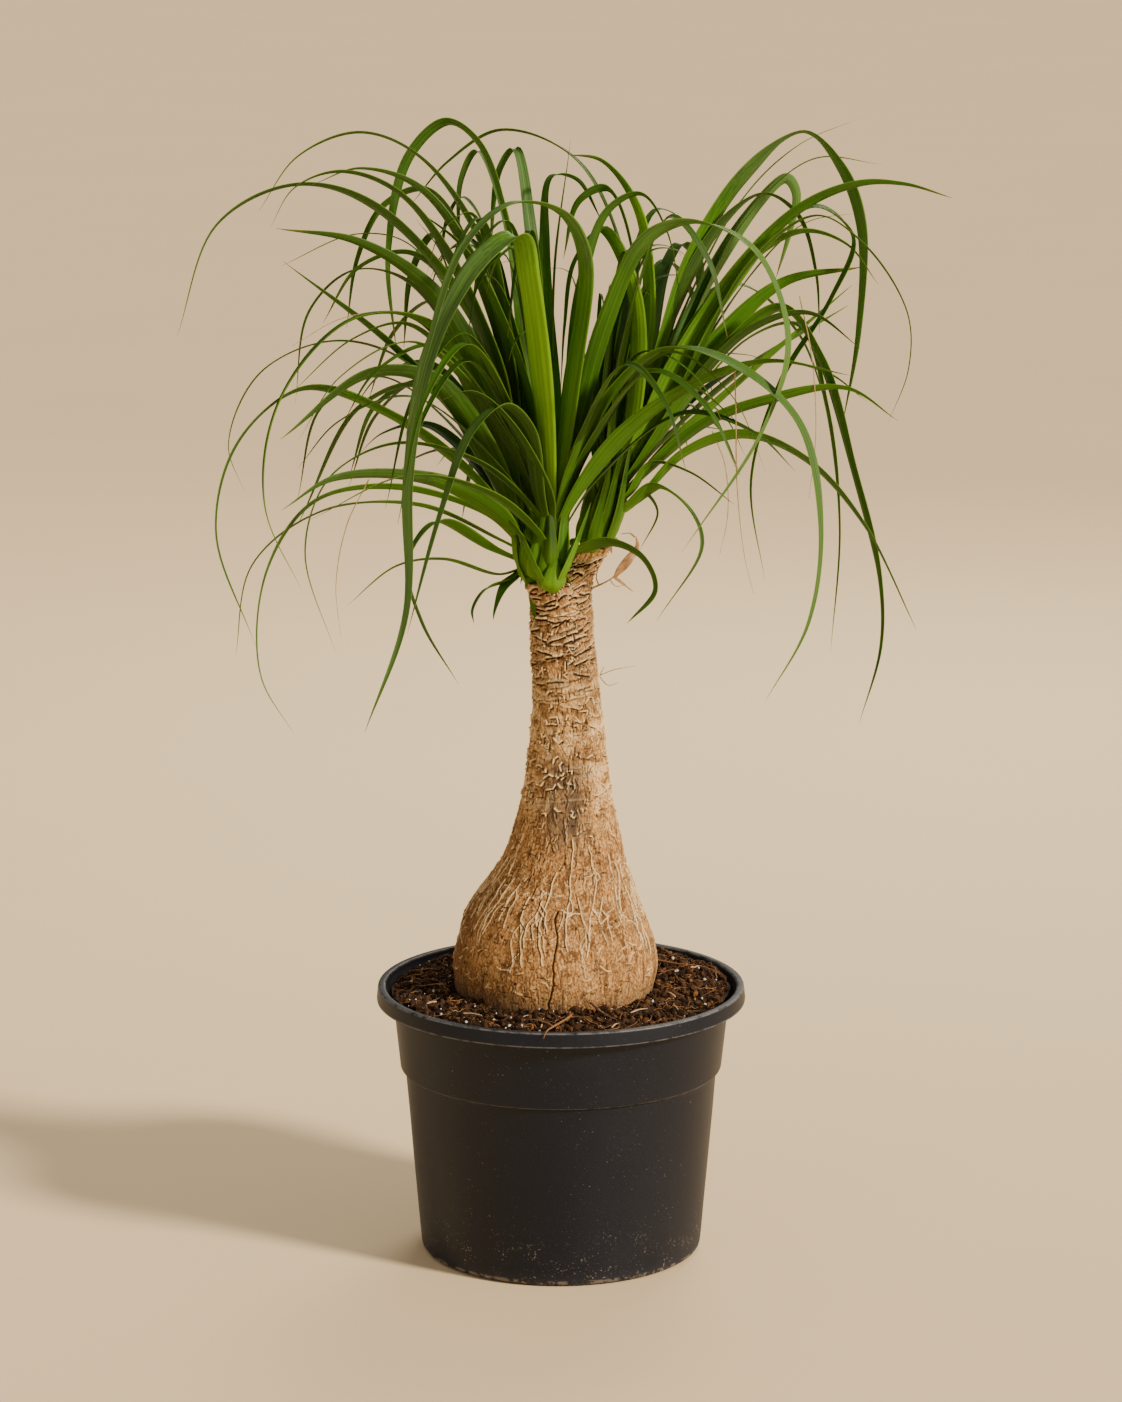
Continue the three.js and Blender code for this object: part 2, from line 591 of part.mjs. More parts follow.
// Stations along a leaf: its middle, its direction across, its upward face and its width.
function leafStations(leaf) {
  const at = leafCurve(leaf.points);
  const spans = leaf.points.length - 1;
  const stops = curveStops(at, spans);
  const fine = Array.from({ length: spans * 8 + 1 }, (_, i) => at(i / 8));
  const run = [0];
  for (let i = 1; i < fine.length; i += 1) run.push(run[i - 1] + fine[i].distanceTo(fine[i - 1]));
  const lengthTo = (u) => {
    const whole = Math.min(Math.floor(u * 8), fine.length - 2);
    return run[whole] + (run[whole + 1] - run[whole]) * (u * 8 - whole);
  };
  const total = run[run.length - 1];
  const [root, tip] = [leaf.points[0], leaf.points[spans]];
  const level = new THREE.Vector3(root.y - tip.y, tip.x - root.x, 0).normalize();
  const facingViewer = level.y > 0 ? -1 : 1;
  const highest = fine.reduce((best, place, i) => (place.z > fine[best].z ? i : best), 0);
  const foldAt = run[highest] / total;
  const held = (share) => {
    if (!leaf.folded) return 1;
    const edgeOn = foldTurn * Math.exp(-(((share - foldAt) / foldSpan) ** 2));
    return 1 - edgeOn - foldHang * smoothstep(foldAt, foldAt + foldReach, share);
  };
  return stops.map((u) => {
    const place = at(u);
    const along = at(Math.min(spans, u + 0.05)).sub(at(Math.max(0, u - 0.05))).normalize();
    const across = level.clone().addScaledVector(along, -level.dot(along)).normalize();
    const up = across.clone().cross(along).multiplyScalar(-1);
    const share = lengthTo(u) / total;
    const rolled = Math.min(1, rootRoll + rollGain * share) * held(share);
    const turn = facingViewer * leaf.roll * Math.PI / 180 * rolled;
    const side = across.clone().multiplyScalar(Math.cos(turn)).addScaledVector(up, Math.sin(turn));
    const face = up.clone().multiplyScalar(Math.cos(turn)).addScaledVector(across, -Math.sin(turn));
    return { place, side, face, width: leafWidth(leaf.width, share) };
  });
}

function leafSolid(leaf) {
  const rings = leafStations(leaf).map(({ place, side, face, width }) => {
    const keel = Math.max(minDepth, keelShare * width);
    return [
      place.clone().addScaledVector(side, width / 2),
      place.clone().addScaledVector(side, -width / 2),
      place.clone().addScaledVector(face, -keel),
    ];
  });
  const solid = toSolid(skinRings(rings));
  return solid.volume() > 0 ? solid : toSolid(skinRings(rings.map((ring) => ring.slice().reverse())));
}

function coreSolid(crown) {
  const rings = crownCore[crown].map(([x, y, z, radius]) => {
    const ring = [];
    for (let side = 0; side < coreSides; side += 1) {
      const angle = side * 2 * Math.PI / coreSides;
      ring.push(new THREE.Vector3(x + radius * Math.cos(angle), y + radius * Math.sin(angle), z));
    }
    return ring;
  });
  return toSolid(skinRings(rings));
}

// How near two leaves come, between the middles of their blades, beyond the roots.
function nearest(leafA, leafB) {
  const places = (leaf) => {
    const at = leafCurve(leaf.points);
    return Array.from({ length: (leaf.points.length - 1) * 6 + 1 }, (_, i) => at(i / 6));
  };
  const others = places(leafB);
  let least = Infinity;
  for (const a of places(leafA)) {
    for (const b of others) least = Math.min(least, a.distanceTo(b));
  }
  return least - (leafA.width + leafB.width) * bladeShare;
}

const routed = Object.entries(leafRoutes).map(routedLeaf);
const leaves = [...routed];
for (const rule of leafFill) {
  const others = routed.filter((leaf) => (leaf.crown === 'right') !== (rule.crown === 'right'));
  for (const leaf of filledLeaves(rule)) {
    if (others.every((other) => nearest(leaf, other) > clearance)) leaves.push(leaf);
  }
}

function crownSolid(crowns) {
  let solid = coreSolid(crowns[0]);
  for (const crown of crowns.slice(1)) solid = solid.add(coreSolid(crown));
  for (const leaf of leaves) {
    if (crowns.includes(leaf.crown)) solid = solid.add(leafSolid(leaf));
  }
  // Pockets sealed in between crossing leaves are filled: only the outer skin is kept.
  return solid.decompose().reduce((best, piece) => (piece.volume() > best.volume() ? piece : best));
}

function dryLeafSolid() {
  const strips = dryStrips.map(([width, roll, places]) => (
    leafSolid({ width, roll, points: places.map((place) => new THREE.Vector3(...place)) })
  ));
  return strips.reduce((whole, strip) => whole.add(strip));
}

// ---- the whole plant ----
const plant = new THREE.Group();
plant.add(asMesh('pot', potSolid(), '#1b1a18', 0.55));
plant.add(asMesh('soil', soilSolid(), '#2d1f15', 0.95));
plant.add(asMesh('trunk', trunkSolid(), '#a27447', 0.85));
plant.add(asMesh('leaf_crown_left', crownSolid(['left', 'front']), '#3f6a1e', 0.5));
plant.add(asMesh('leaf_crown_right', crownSolid(['right']), '#3f6a1e', 0.5));
plant.add(asMesh('dry_leaf', dryLeafSolid(), '#a9814f', 0.9));

export default plant;
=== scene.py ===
# A potted ponytail palm for a plain studio portrait: pot, soil, corky trunk and two leafy crowns.
import math
import bpy
import bmesh
import numpy as np
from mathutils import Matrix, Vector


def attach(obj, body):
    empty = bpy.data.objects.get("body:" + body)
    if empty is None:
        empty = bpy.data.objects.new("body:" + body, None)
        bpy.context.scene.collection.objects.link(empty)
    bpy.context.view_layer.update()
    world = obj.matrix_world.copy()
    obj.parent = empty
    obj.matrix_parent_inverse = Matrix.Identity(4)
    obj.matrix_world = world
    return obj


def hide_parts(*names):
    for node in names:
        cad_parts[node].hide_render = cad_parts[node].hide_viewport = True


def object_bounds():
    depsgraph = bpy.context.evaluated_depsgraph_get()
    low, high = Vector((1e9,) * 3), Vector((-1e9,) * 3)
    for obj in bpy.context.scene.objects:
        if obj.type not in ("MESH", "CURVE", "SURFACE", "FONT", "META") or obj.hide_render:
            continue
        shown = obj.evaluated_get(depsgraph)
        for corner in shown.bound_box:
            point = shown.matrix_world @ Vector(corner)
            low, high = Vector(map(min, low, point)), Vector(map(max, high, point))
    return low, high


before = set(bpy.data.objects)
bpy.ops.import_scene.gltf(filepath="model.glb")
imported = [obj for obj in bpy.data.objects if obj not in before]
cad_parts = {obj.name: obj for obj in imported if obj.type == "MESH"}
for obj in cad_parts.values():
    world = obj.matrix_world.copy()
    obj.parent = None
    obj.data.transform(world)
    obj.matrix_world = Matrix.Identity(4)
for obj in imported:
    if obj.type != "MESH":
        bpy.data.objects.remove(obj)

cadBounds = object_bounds()
mm = 0.001
fullTurn = 2 * math.pi
print("stage: frame loaded")


def seededRandom(seed):
    state = seed

    def draw():
        nonlocal state
        state = (state * 1664525 + 1013904223) & 0xffffffff
        return state / 4294967296
    return draw


def between(draw, limits):
    return limits[0] + (limits[1] - limits[0]) * draw()


def smoothstep(low, high, value):
    share = np.clip((value - low) / (high - low), 0, 1)
    return share * share * (3 - 2 * share)


def anglesRound(count):
    return np.linspace(0, fullTurn, count, endpoint=False)


def link(made):
    bpy.context.scene.collection.objects.link(made)
    return made


def unit(vector):
    return vector / np.maximum(np.linalg.norm(vector, axis=-1, keepdims=True), 1e-9)


# Smooth value noise on a lattice, period in cells along the first axis so that it closes round a trunk.
def latticeNoise(x, y, seed, period=None):
    width = period or 256
    table = np.random.default_rng(seed).random((256, width))
    x0, y0 = np.floor(x).astype(int), np.floor(y).astype(int)
    fx, fy = x - x0, y - y0
    fx, fy = fx * fx * (3 - 2 * fx), fy * fy * (3 - 2 * fy)

    def at(i, j):
        return table[j % 256, i % width]
    low = at(x0, y0) * (1 - fx) + at(x0 + 1, y0) * fx
    high = at(x0, y0 + 1) * (1 - fx) + at(x0 + 1, y0 + 1) * fx
    return (low * (1 - fy) + high * fy) * 2 - 1


def gridFaces(rows, columns, closed):
    lanes = columns if closed else columns - 1
    row, column = np.meshgrid(np.arange(rows - 1), np.arange(lanes), indexing="ij")
    following = (column + 1) % columns
    faces = np.stack([row * columns + column, row * columns + following,
                      (row + 1) * columns + following, (row + 1) * columns + column], axis=-1)
    return faces.reshape(-1, 4)


class Mould:  # gathers the points and faces of one piece, in millimetres
    def __init__(self):
        self.points, self.faces, self.values, self.count = [], [], {}, 0

    def add(self, points, faces, **values):
        points = np.asarray(points, float).reshape(-1, 3)
        self.points.append(points)
        self.faces.extend((np.asarray(face) + self.count).tolist() for face in faces)
        for key, value in values.items():
            spread = np.broadcast_to(np.asarray(value, float), (len(points),))
            self.values.setdefault(key, []).append(spread)
        self.count += len(points)

    def piece(self, name, material, slot, node, smooth=True):
        mesh = bpy.data.meshes.new(name)
        mesh.from_pydata((np.concatenate(self.points) * mm).tolist(), [], self.faces)
        for key, value in self.values.items():
            layer = mesh.attributes.new(key, "FLOAT", "POINT")
            layer.data.foreach_set("value", np.concatenate(value).astype(np.float32))
        mesh.polygons.foreach_set("use_smooth", [smooth] * len(mesh.polygons))
        mesh.materials.append(material)
        mesh.update()
        made = link(bpy.data.objects.new(name, mesh))
        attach(made, "root")
        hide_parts(node)
        return made


class Wire:  # one socket of a material, on which sums and products can be written
    def __init__(self, paint, socket):
        self.paint, self.socket = paint, socket

    def maths(self, operation, other=0.0, flipped=False):
        first, second = (other, self) if flipped else (self, other)
        return self.paint.node("ShaderNodeMath", {"operation": operation}, {0: first, 1: second})

    def __add__(self, other):
        return self.maths("ADD", other)

    def __radd__(self, other):
        return self.maths("ADD", other)

    def __sub__(self, other):
        return self.maths("SUBTRACT", other)

    def __rsub__(self, other):
        return self.maths("SUBTRACT", other, True)

    def __mul__(self, other):
        return self.maths("MULTIPLY", other)

    def __rmul__(self, other):
        return self.maths("MULTIPLY", other)

    def __abs__(self):
        return self.maths("ABSOLUTE")

    def above(self, low, high):  # 0 below low, 1 above high, smooth between
        return self.paint.node("ShaderNodeMapRange", {"interpolation_type": "SMOOTHSTEP"},
                               {"Value": self, "From Min": low, "From Max": high})


class Paint:  # one material and its nodes
    def __init__(self, name):
        self.material = bpy.data.materials.new(name)
        self.material.use_nodes = True
        self.tree = self.material.node_tree
        self.tree.nodes.clear()

    def node(self, kind, settings=None, inputs=None, output=0):
        made = self.tree.nodes.new(kind)
        for key, value in (settings or {}).items():
            if key == "stops":
                self.setStops(made.color_ramp, value)
            else:
                setattr(made, key, value)
        for key, value in (inputs or {}).items():
            if isinstance(value, Wire):
                self.tree.links.new(value.socket, made.inputs[key])
            else:
                made.inputs[key].default_value = value
        return Wire(self, made.outputs[output]) if len(made.outputs) else made

    def setStops(self, ramp, stops):
        while len(ramp.elements) < len(stops):
            ramp.elements.new(0.5)
        for element, (place, colour) in zip(ramp.elements, stops):
            element.position = place
            element.color = (*colour, 1)

    def value(self, name):
        return self.node("ShaderNodeAttribute", {"attribute_name": name}, output=2)

    def place(self, stretch=(1, 1, 1)):
        place = self.node("ShaderNodeTexCoord", output=3)
        return self.node("ShaderNodeVectorMath", {"operation": "MULTIPLY"}, {0: place, 1: stretch})

    def noise(self, scale, detail=3.0, vector=None, distortion=0.0):
        return self.node("ShaderNodeTexNoise", {}, {
            "Vector": vector or self.place(), "Scale": scale, "Detail": detail,
            "Roughness": 0.55, "Distortion": distortion})

    def part(self, vector, axis):  # one of the three numbers of a place
        return self.node("ShaderNodeSeparateXYZ", {}, {0: vector}, output=axis)

    def mix(self, factor, first, second):
        colour = [value if isinstance(value, Wire) else (*value, 1) for value in (first, second)]
        return self.node("ShaderNodeMix", {"data_type": "RGBA"}, {0: factor, 6: colour[0], 7: colour[1]},
                         output=2)

    def layers(self, colour, coats):  # coats of colour over one another, each with its own mask
        for mask, coat in coats:
            colour = self.mix(mask, colour, coat)
        return colour

    def ramp(self, factor, stops):
        return self.node("ShaderNodeValToRGB", {"stops": stops}, {0: factor})

    def bump(self, height, strength, distance):
        return self.node("ShaderNodeBump", {}, {
            "Height": height, "Strength": strength, "Distance": distance})

    def finish(self, inputs, over=None):
        surface = self.node("ShaderNodeBsdfPrincipled", {}, inputs)
        if over:  # a share of light passes through
            share, colour = over
            through = self.node("ShaderNodeBsdfTranslucent", {}, {"Color": (*colour, 1)})
            surface = self.node("ShaderNodeMixShader", {}, {0: share, 1: surface, 2: through})
        self.node("ShaderNodeOutputMaterial", {}, {"Surface": surface})
        return self.material


view = {
    "place": (0.0, -3.019, 1.0119),  # metres
    "down": 12.1,  # degrees below the horizon
    "focal": 4800,  # in pixels of a picture 1402 high
    "pictureHeight": 1402,
    "sensor": 36, "farthest": 200,
}
studio = {
    "floorColour": (1.0, 0.785, 0.50), "floorShade": 0.94, "floorRadius": 30,
    "floorSides": 96, "floorDrop": 0.0002, "floorRoughness": 0.8,
    "skyColour": (1.0, 0.88, 0.74), "skyStrength": 0.36,
    "aim": (0, 0, 0.42),
    "lamps": {
        "sunLamp": ("SUN", (2.3, -1.5, 1.9), 4.85, (1.0, 0.87, 0.69), {"angle": math.radians(9)}),
        "fillLamp": ("AREA", (-2.0, -2.4, 1.2), 7, (1.0, 0.92, 0.82), {"shape": "DISK", "size": 2.4}),
        "rimLamp": ("AREA", (0.6, 2.0, 1.7), 26, (1.0, 0.92, 0.76), {"shape": "DISK", "size": 1.4}),
    },
}


def makeCamera():
    camera = link(bpy.data.objects.new("camera", bpy.data.cameras.new("camera")))
    camera.location = view["place"]
    camera.rotation_euler = (math.radians(90 - view["down"]), 0, 0)
    camera.data.sensor_width = view["sensor"]
    camera.data.lens = view["focal"] / view["pictureHeight"] * view["sensor"]
    camera.data.clip_end = view["farthest"]
    bpy.context.scene.camera = camera


def makeLamp(name, kind, place, strength, colour, settings):
    lamp = bpy.data.lights.new(name, kind)
    lamp.energy = strength
    lamp.color = colour
    for key, value in settings.items():
        setattr(lamp, key, value)
    made = link(bpy.data.objects.new(name, lamp))
    made.location = place
    away = np.array(place) - np.array(studio["aim"])
    flat = math.hypot(away[0], away[1])
    made.rotation_euler = (math.atan2(flat, away[2]), 0, math.atan2(away[1], away[0]) + math.pi / 2)


def makeStudio():
    world = bpy.data.worlds.new("softSky")
    world.use_nodes = True
    background = world.node_tree.nodes["Background"]
    background.inputs["Color"].default_value = (*studio["skyColour"], 1)
    background.inputs["Strength"].default_value = studio["skyStrength"]
    bpy.context.scene.world = world
    for name, lamp in studio["lamps"].items():
        makeLamp(name, *lamp)
    paint = Paint("paleFloor")
    colour = studio["floorColour"]
    shaded = [share * studio["floorShade"] for share in colour]
    tint = paint.mix(paint.noise(2.2, 4.0), colour, shaded)
    floorPaint = paint.finish({"Base Color": tint, "Roughness": studio["floorRoughness"]})
    radius = studio["floorRadius"]
    points = [(radius * math.cos(a), radius * math.sin(a), 0) for a in anglesRound(studio["floorSides"])]
    mesh = bpy.data.meshes.new("floor")
    mesh.from_pydata(points, [], [list(range(len(points)))])
    mesh.materials.append(floorPaint)
    floor = link(bpy.data.objects.new("floor", mesh))
    floor.location.z = -studio["floorDrop"]


makeCamera()
makeStudio()
print("stage: camera, light and floor")

pot = {  # millimetres
    "height": 177, "rim": 120, "rimWidth": 6.6, "skirtDrop": 10, "wall": 2,
    "shoulder": 109, "step": 101.6, "stepHeight": 121, "foot": 91.5, "footRing": 80, "recess": 2.5,
    "pad": 22, "floor": 5, "holes": 8, "holeRadius": 6, "holeCircle": 58, "drillSides": 28,
    "sides": 224, "unevenness": 0.16,
    "colour": (0.0020, 0.0042, 0.0120), "dust": (0.050, 0.052, 0.060), "speck": (0.34, 0.29, 0.24),
    # worn: the pale colour of the edge lines, partly rubbed wear and partly painted highlight
    "worn": (0.125, 0.132, 0.150),
    # heights of the edges painted pale, partly as rubbed wear and partly as painted highlight, and how
    # far the pale line reaches
    "edgeWearAndHighlight": [(176.4, 0.75, 1.0), (167.7, 0.6, 0.75), (122.4, 0.8, 0.4)],
}


def roundedProfile(corners, steps=5):
    made = []
    for i, (radius, height, rounding) in enumerate(corners):
        here = np.array([radius, height])
        if not rounding:
            made.append(here)
            continue
        before = np.array(corners[i - 1][:2]) - here
        after = np.array(corners[i + 1][:2]) - here
        start = here + before / np.linalg.norm(before) * min(rounding, np.linalg.norm(before) * 0.5)
        end = here + after / np.linalg.norm(after) * min(rounding, np.linalg.norm(after) * 0.5)
        for t in np.linspace(0, 1, steps + 1):
            made.append((1 - t) ** 2 * start + 2 * t * (1 - t) * here + t * t * end)
    return np.array(made)


def potPaint():
    paint = Paint("potPlastic")
    height = paint.part(paint.place(), 2)
    low = 1 - height.above(0.004, 0.05)
    clouds = paint.noise(14, 5.0, paint.place((1, 1, 0.6)))
    dust = clouds.above(0.42, 0.78) * 0.06 + low * clouds.above(0.3, 0.8) * 0.12
    dust = dust + (1 - height.above(0.0, 0.012)) * 0.2
    dust = dust + paint.noise(1500, 2.0).above(0.55, 0.68) * (0.06 + 0.16 * clouds)
    scuffs = paint.noise(90, 6.0, paint.place((1.0, 1.0, 4.0)), 1.6).above(0.72, 0.78) * 0.3
    coats = [(dust, pot["dust"]), (scuffs, pot["dust"])]
    edgeBreakup = paint.noise(150, 4.0).above(0.30, 0.58)
    # pale lines at the rim's top edge, the skirt's lower edge and the step: partly rubbed wear, partly
    # painted highlight where the edges catch the light
    for place, reach, share in pot["edgeWearAndHighlight"]:
        line = 1 - abs(height - place * mm).above(reach * 0.3 * mm, reach * mm)
        coats.append((line * edgeBreakup * share, pot["worn"]))
    # tiny pale specks all over, most of them low, where a broken worn line runs round the foot
    gathered = 0.14 + 0.4 * paint.noise(26, 3.0).above(0.45, 0.68)
    specks = paint.noise(760, 2.0).above(0.69, 0.76) * gathered
    lowGate = paint.noise(55, 3.0).above(0.42, 0.62) * 0.7
    lowSpecks = paint.noise(640, 3.0).above(0.60, 0.68) * low * lowGate
    footGate = paint.noise(210, 4.0).above(0.46, 0.60) * 0.4
    footLine = (1 - abs(height - 0.0026).above(0.0006, 0.0022)) * footGate
    coats.append(((specks + lowSpecks + footLine).maths("MINIMUM", 1.0), pot["speck"]))
    grain = paint.noise(900, 2.0) * 0.3 + paint.noise(60, 3.0) * 0.7
    return paint.finish({
        "Base Color": paint.layers(pot["colour"], coats),
        "Roughness": 0.40 + dust * 0.5 + clouds * 0.12,
        "Normal": paint.bump(grain, 0.12, 0.0004),
        "Specular IOR Level": 0.29})


def potRows():
    top, rim, wall, foot, step, ledge = (
        pot[key] for key in ("height", "rim", "wall", "foot", "step", "stepHeight"))
    pad, recess, ring, floor, shoulder = (
        pot[key] for key in ("pad", "recess", "footRing", "floor", "shoulder"))
    inner, skirt = rim - pot["rimWidth"], top - pot["skirtDrop"]
    # radius, height, rounding of each corner, from the middle of the underside round to the inside
    line = roundedProfile([
        (0, 0, 0), (pad, 0, 0.6), (pad + 2, recess, 0.6), (ring - 2, recess, 0.6), (ring, 0, 0.6),
        (foot - 0.4, 0, 5.2), (foot + 0.6, 9, 6), (step, ledge - 0.2, 0.7),
        (step + 3.2, ledge + 1.8, 1.2), (step + 3.6, ledge + 6, 2), (shoulder, skirt - 2.5, 2.0),
        (inner + 0.8, top - 4.2, 1.2), (rim - wall - 0.4, top - 4.2, 1.0), (rim - wall, skirt, 0.4),
        (rim - 0.2, skirt, 0.5), (rim, skirt + 1.6, 0.5), (rim - 0.6, top - 2.6, 0.5),
        (rim - 0.9, top, 1.3), (inner + 1.2, top, 1.2), (inner, top - 3.4, 1.4),
        (shoulder + 1 - wall, skirt - 2, 2), (step + 3 - wall, ledge + 2, 1),
        (step - wall, ledge - 1, 1), (foot - wall, floor + 4, 3), (foot - wall - 4, floor, 2),
        (0, floor, 0),
    ])
    # long walls get rows of their own, so that they can carry a slight unevenness
    rows = [line[0]]
    for a, b in zip(line, line[1:]):
        parts = max(1, int(np.linalg.norm(b - a) / 6))
        rows.extend(a + (b - a) * k / parts for k in range(1, parts + 1))
    return np.array(rows)


def makePot():
    rows, sides = potRows(), pot["sides"]
    angle = anglesRound(sides)
    radius = np.repeat(rows[1:-1, :1], sides, axis=1)
    height = np.repeat(rows[1:-1, 1:], sides, axis=1)
    uneven = latticeNoise(angle[None, :] / fullTurn * 12 + 0 * height, height / 30, 5, 12)
    below = height < pot["height"] - pot["skirtDrop"]
    radius = radius + pot["unevenness"] * uneven * smoothstep(4, 20, height) * below
    points = np.stack([radius * np.cos(angle), radius * np.sin(angle), height], axis=-1).reshape(-1, 3)
    count = len(rows) - 2
    mould = Mould()
    faces = gridFaces(count, sides, True).tolist()
    bottom, top, last = count * sides, count * sides + 1, (count - 1) * sides
    faces += [[bottom, (i + 1) % sides, i] for i in range(sides)]
    faces += [[top, last + i, last + (i + 1) % sides] for i in range(sides)]
    mould.add(np.vstack([points, [[0, 0, rows[0, 1]], [0, 0, rows[-1, 1]]]]), faces)
    made = mould.piece("potShell", potPaint(), "pot_plastic", "pot")
    drainHoles(made)


def drainHoles(made):
    drill = bmesh.new()
    radius, circle = pot["holeRadius"] * mm, pot["holeCircle"] * mm
    for hole in range(pot["holes"]):
        turn = (hole + 0.5) * fullTurn / pot["holes"]
        cut = bmesh.ops.create_cone(drill, cap_ends=True, segments=pot["drillSides"],
                                    radius1=radius, radius2=radius, depth=0.03)
        away = (circle * math.cos(turn), circle * math.sin(turn), 0)
        bmesh.ops.translate(drill, verts=cut["verts"], vec=away)
    cutter = link(bpy.data.objects.new("cutter", bpy.data.meshes.new("cutter")))
    drill.to_mesh(cutter.data)
    drill.free()
    bore = made.modifiers.new("holes", "BOOLEAN")
    bore.object = cutter
    bore.operation = "DIFFERENCE"
    bore.solver = "EXACT"
    cutMesh = bpy.data.meshes.new_from_object(made.evaluated_get(bpy.context.evaluated_depsgraph_get()))
    made.modifiers.clear()
    made.data = cutMesh
    bpy.data.objects.remove(cutter)


makePot()
print("stage: pot")

trunk = {
    "columns": 800, "rowStep": 0.42, "lowest": 158, "seed": 77, "stripSeed": 700, "limbSeed": 900,
    "smoothBelow": 182, "veins": 36, "veinTop": (282, 244), "veinFoot": (200, 236), "veinRise": 0.9,
    "veinSeed": 5, "ties": 250, "tieHeights": (186, 264), "frontCrack": (238, 168), "fissures": 120,
    "shortCracks": 760, "crackHeights": (176, 376), "pits": 90, "pitHeights": (182, 272),
    "chips": 860, "chipHeights": (262, 452), "bars": 26, "barHeights": (374, 446),
    "stripStart": 372, "strips": 29, "stripPitch": 3.1, "stripRise": 1.3, "plates": 10,
    "scarPitch": 10, "scarStart": 306, "scarTilt": 2.2, "forkTurn": (425, 471), "forkBack": 8,
    "limbColumns": 300, "limbRowStep": 0.35, "limbChips": 60, "limbStrips": 8, "limbPitch": 3.4,
    # heights between which the roughness grows in at the foot and fades at the top
    "growIn": (166, 184), "fadeOut": (456, 464), "fadeShare": 0.6,
    "ochre": (0.50, 0.258, 0.092), "tan": (0.72, 0.43, 0.175), "brown": (0.135, 0.057, 0.018),
    "grey": (0.115, 0.075, 0.050), "deep": (0.040, 0.019, 0.008), "cream": (1.0, 0.77, 0.44),
    # cells round, height of a cell, amount and seed of each size of roughness
    "roughness": [(14, 30, 0.8, 1), (36, 14, 0.45, 2), (90, 5, 0.28, 3), (230, 1.8, 0.2, 4)],
    # height, radius, how far the middle lies across
    "stations": [
        (134, 20, -4.5), (137, 32, -4.5), (145, 47, -4.5), (157, 58, -4.5), (170, 63.3, -4.5),
        (180, 65.2, -4.5), (190, 66.3, -4), (201, 65.3, -3.7), (211, 62.8, -3.8), (221, 59.5, -4.2),
        (231, 55, -3.6), (243, 49, -1.3), (254, 43.2, 1), (266, 38.4, 3), (286, 32.8, 3.9),
        (313, 27.2, 4.5), (344, 23.6, 4.6), (380, 21.2, 3), (410, 19.8, 0.7), (430, 19.2, 0.5),
        (438, 17.6, 2), (445, 12, 8.5), (454, 11.8, 14), (464.5, 12.3, 20.5),
    ],
    "leftFork": [((1, -3, 424), 16.5), ((-5, -8, 436), 15.5), ((-9, -10, 444.7), 14)],
}
front = -math.pi / 2  # the side that faces the viewer


def stationValue(stations, height, column):
    rows = np.array(stations, float)
    slope = np.empty(len(rows))
    for i in range(len(rows)):
        low, high = rows[max(0, i - 1)], rows[min(len(rows) - 1, i + 1)]
        slope[i] = (high[column] - low[column]) / (high[0] - low[0])
    height = np.asarray(height, float)
    row = np.clip(np.searchsorted(rows[:, 0], height, side="left") - 1, 0, len(rows) - 2)
    span = rows[row + 1, 0] - rows[row, 0]
    t = np.clip((height - rows[row, 0]) / span, 0, 1)
    return ((2 * t**3 - 3 * t**2 + 1) * rows[row, column] + (t**3 - 2 * t**2 + t) * span * slope[row]
            + (3 * t**2 - 2 * t**3) * rows[row + 1, column] + (t**3 - t**2) * span * slope[row + 1])


class Bark:  # an unrolled sheet of bark, on which ridges and cracks are drawn
    def __init__(self, heights, columns, radiusAt):
        self.heights, self.columns = heights, columns
        self.angle = anglesRound(columns)
        self.radiusAt = radiusAt
        self.step = heights[1] - heights[0]
        shape = (len(heights), columns)
        self.lift, self.pale, self.dark = np.zeros(shape), np.zeros(shape), np.zeros(shape)

    def stroke(self, path, width, lift, pale=0.0, dark=0.0):
        for (a0, z0), (a1, z1) in zip(path, path[1:]):
            radius = float(self.radiusAt((z0 + z1) / 2))
            length = math.hypot((a1 - a0) * radius, z1 - z0)
            for t in np.arange(0, 1, min(1.0, 0.45 * max(width, 0.6) / max(length, 0.01))):
                self.dab(a0 + (a1 - a0) * t, z0 + (z1 - z0) * t, radius, width, lift, pale, dark)

    def beside(self, path, across, up=0.0):
        return [(angle + across / float(self.radiusAt(z)), z + up) for angle, z in path]

    def dab(self, angle, height, radius, width, lift, pale, dark):
        row = (height - self.heights[0]) / self.step
        column = (angle / fullTurn % 1) * self.columns
        cell = fullTurn * radius / self.columns
        rows = np.arange(int(row - width * 1.7 / self.step), int(row + width * 1.7 / self.step) + 2)
        rows = rows[(rows >= 0) & (rows < len(self.heights))]
        columns = np.arange(int(column - width * 1.7 / cell), int(column + width * 1.7 / cell) + 2)
        away = ((columns - column) * cell)[None, :] ** 2 + ((rows - row) * self.step)[:, None] ** 2
        share = np.exp(-away / (0.5 * (width / 1.5) ** 2))
        spot = np.ix_(rows, columns % self.columns)
        stronger = abs(lift) > np.abs(self.lift[spot]) * 0.6
        self.lift[spot] += (lift - self.lift[spot]) * share * stronger
        self.pale[spot] = np.maximum(self.pale[spot], share * pale) * (1 - share * dark)
        self.dark[spot] = np.maximum(self.dark[spot] * (1 - share * pale), share * dark)


def wanderingPath(draw, angle, top, bottom, step, sway, radiusAt, hold=0.55):
    path, drift, z = [(angle, top)], 0.0, top
    while z > bottom:
        z -= step
        drift = drift * hold + (draw() - 0.5) * sway
        angle += drift / float(radiusAt(z))
        path.append((angle, z))
    return path


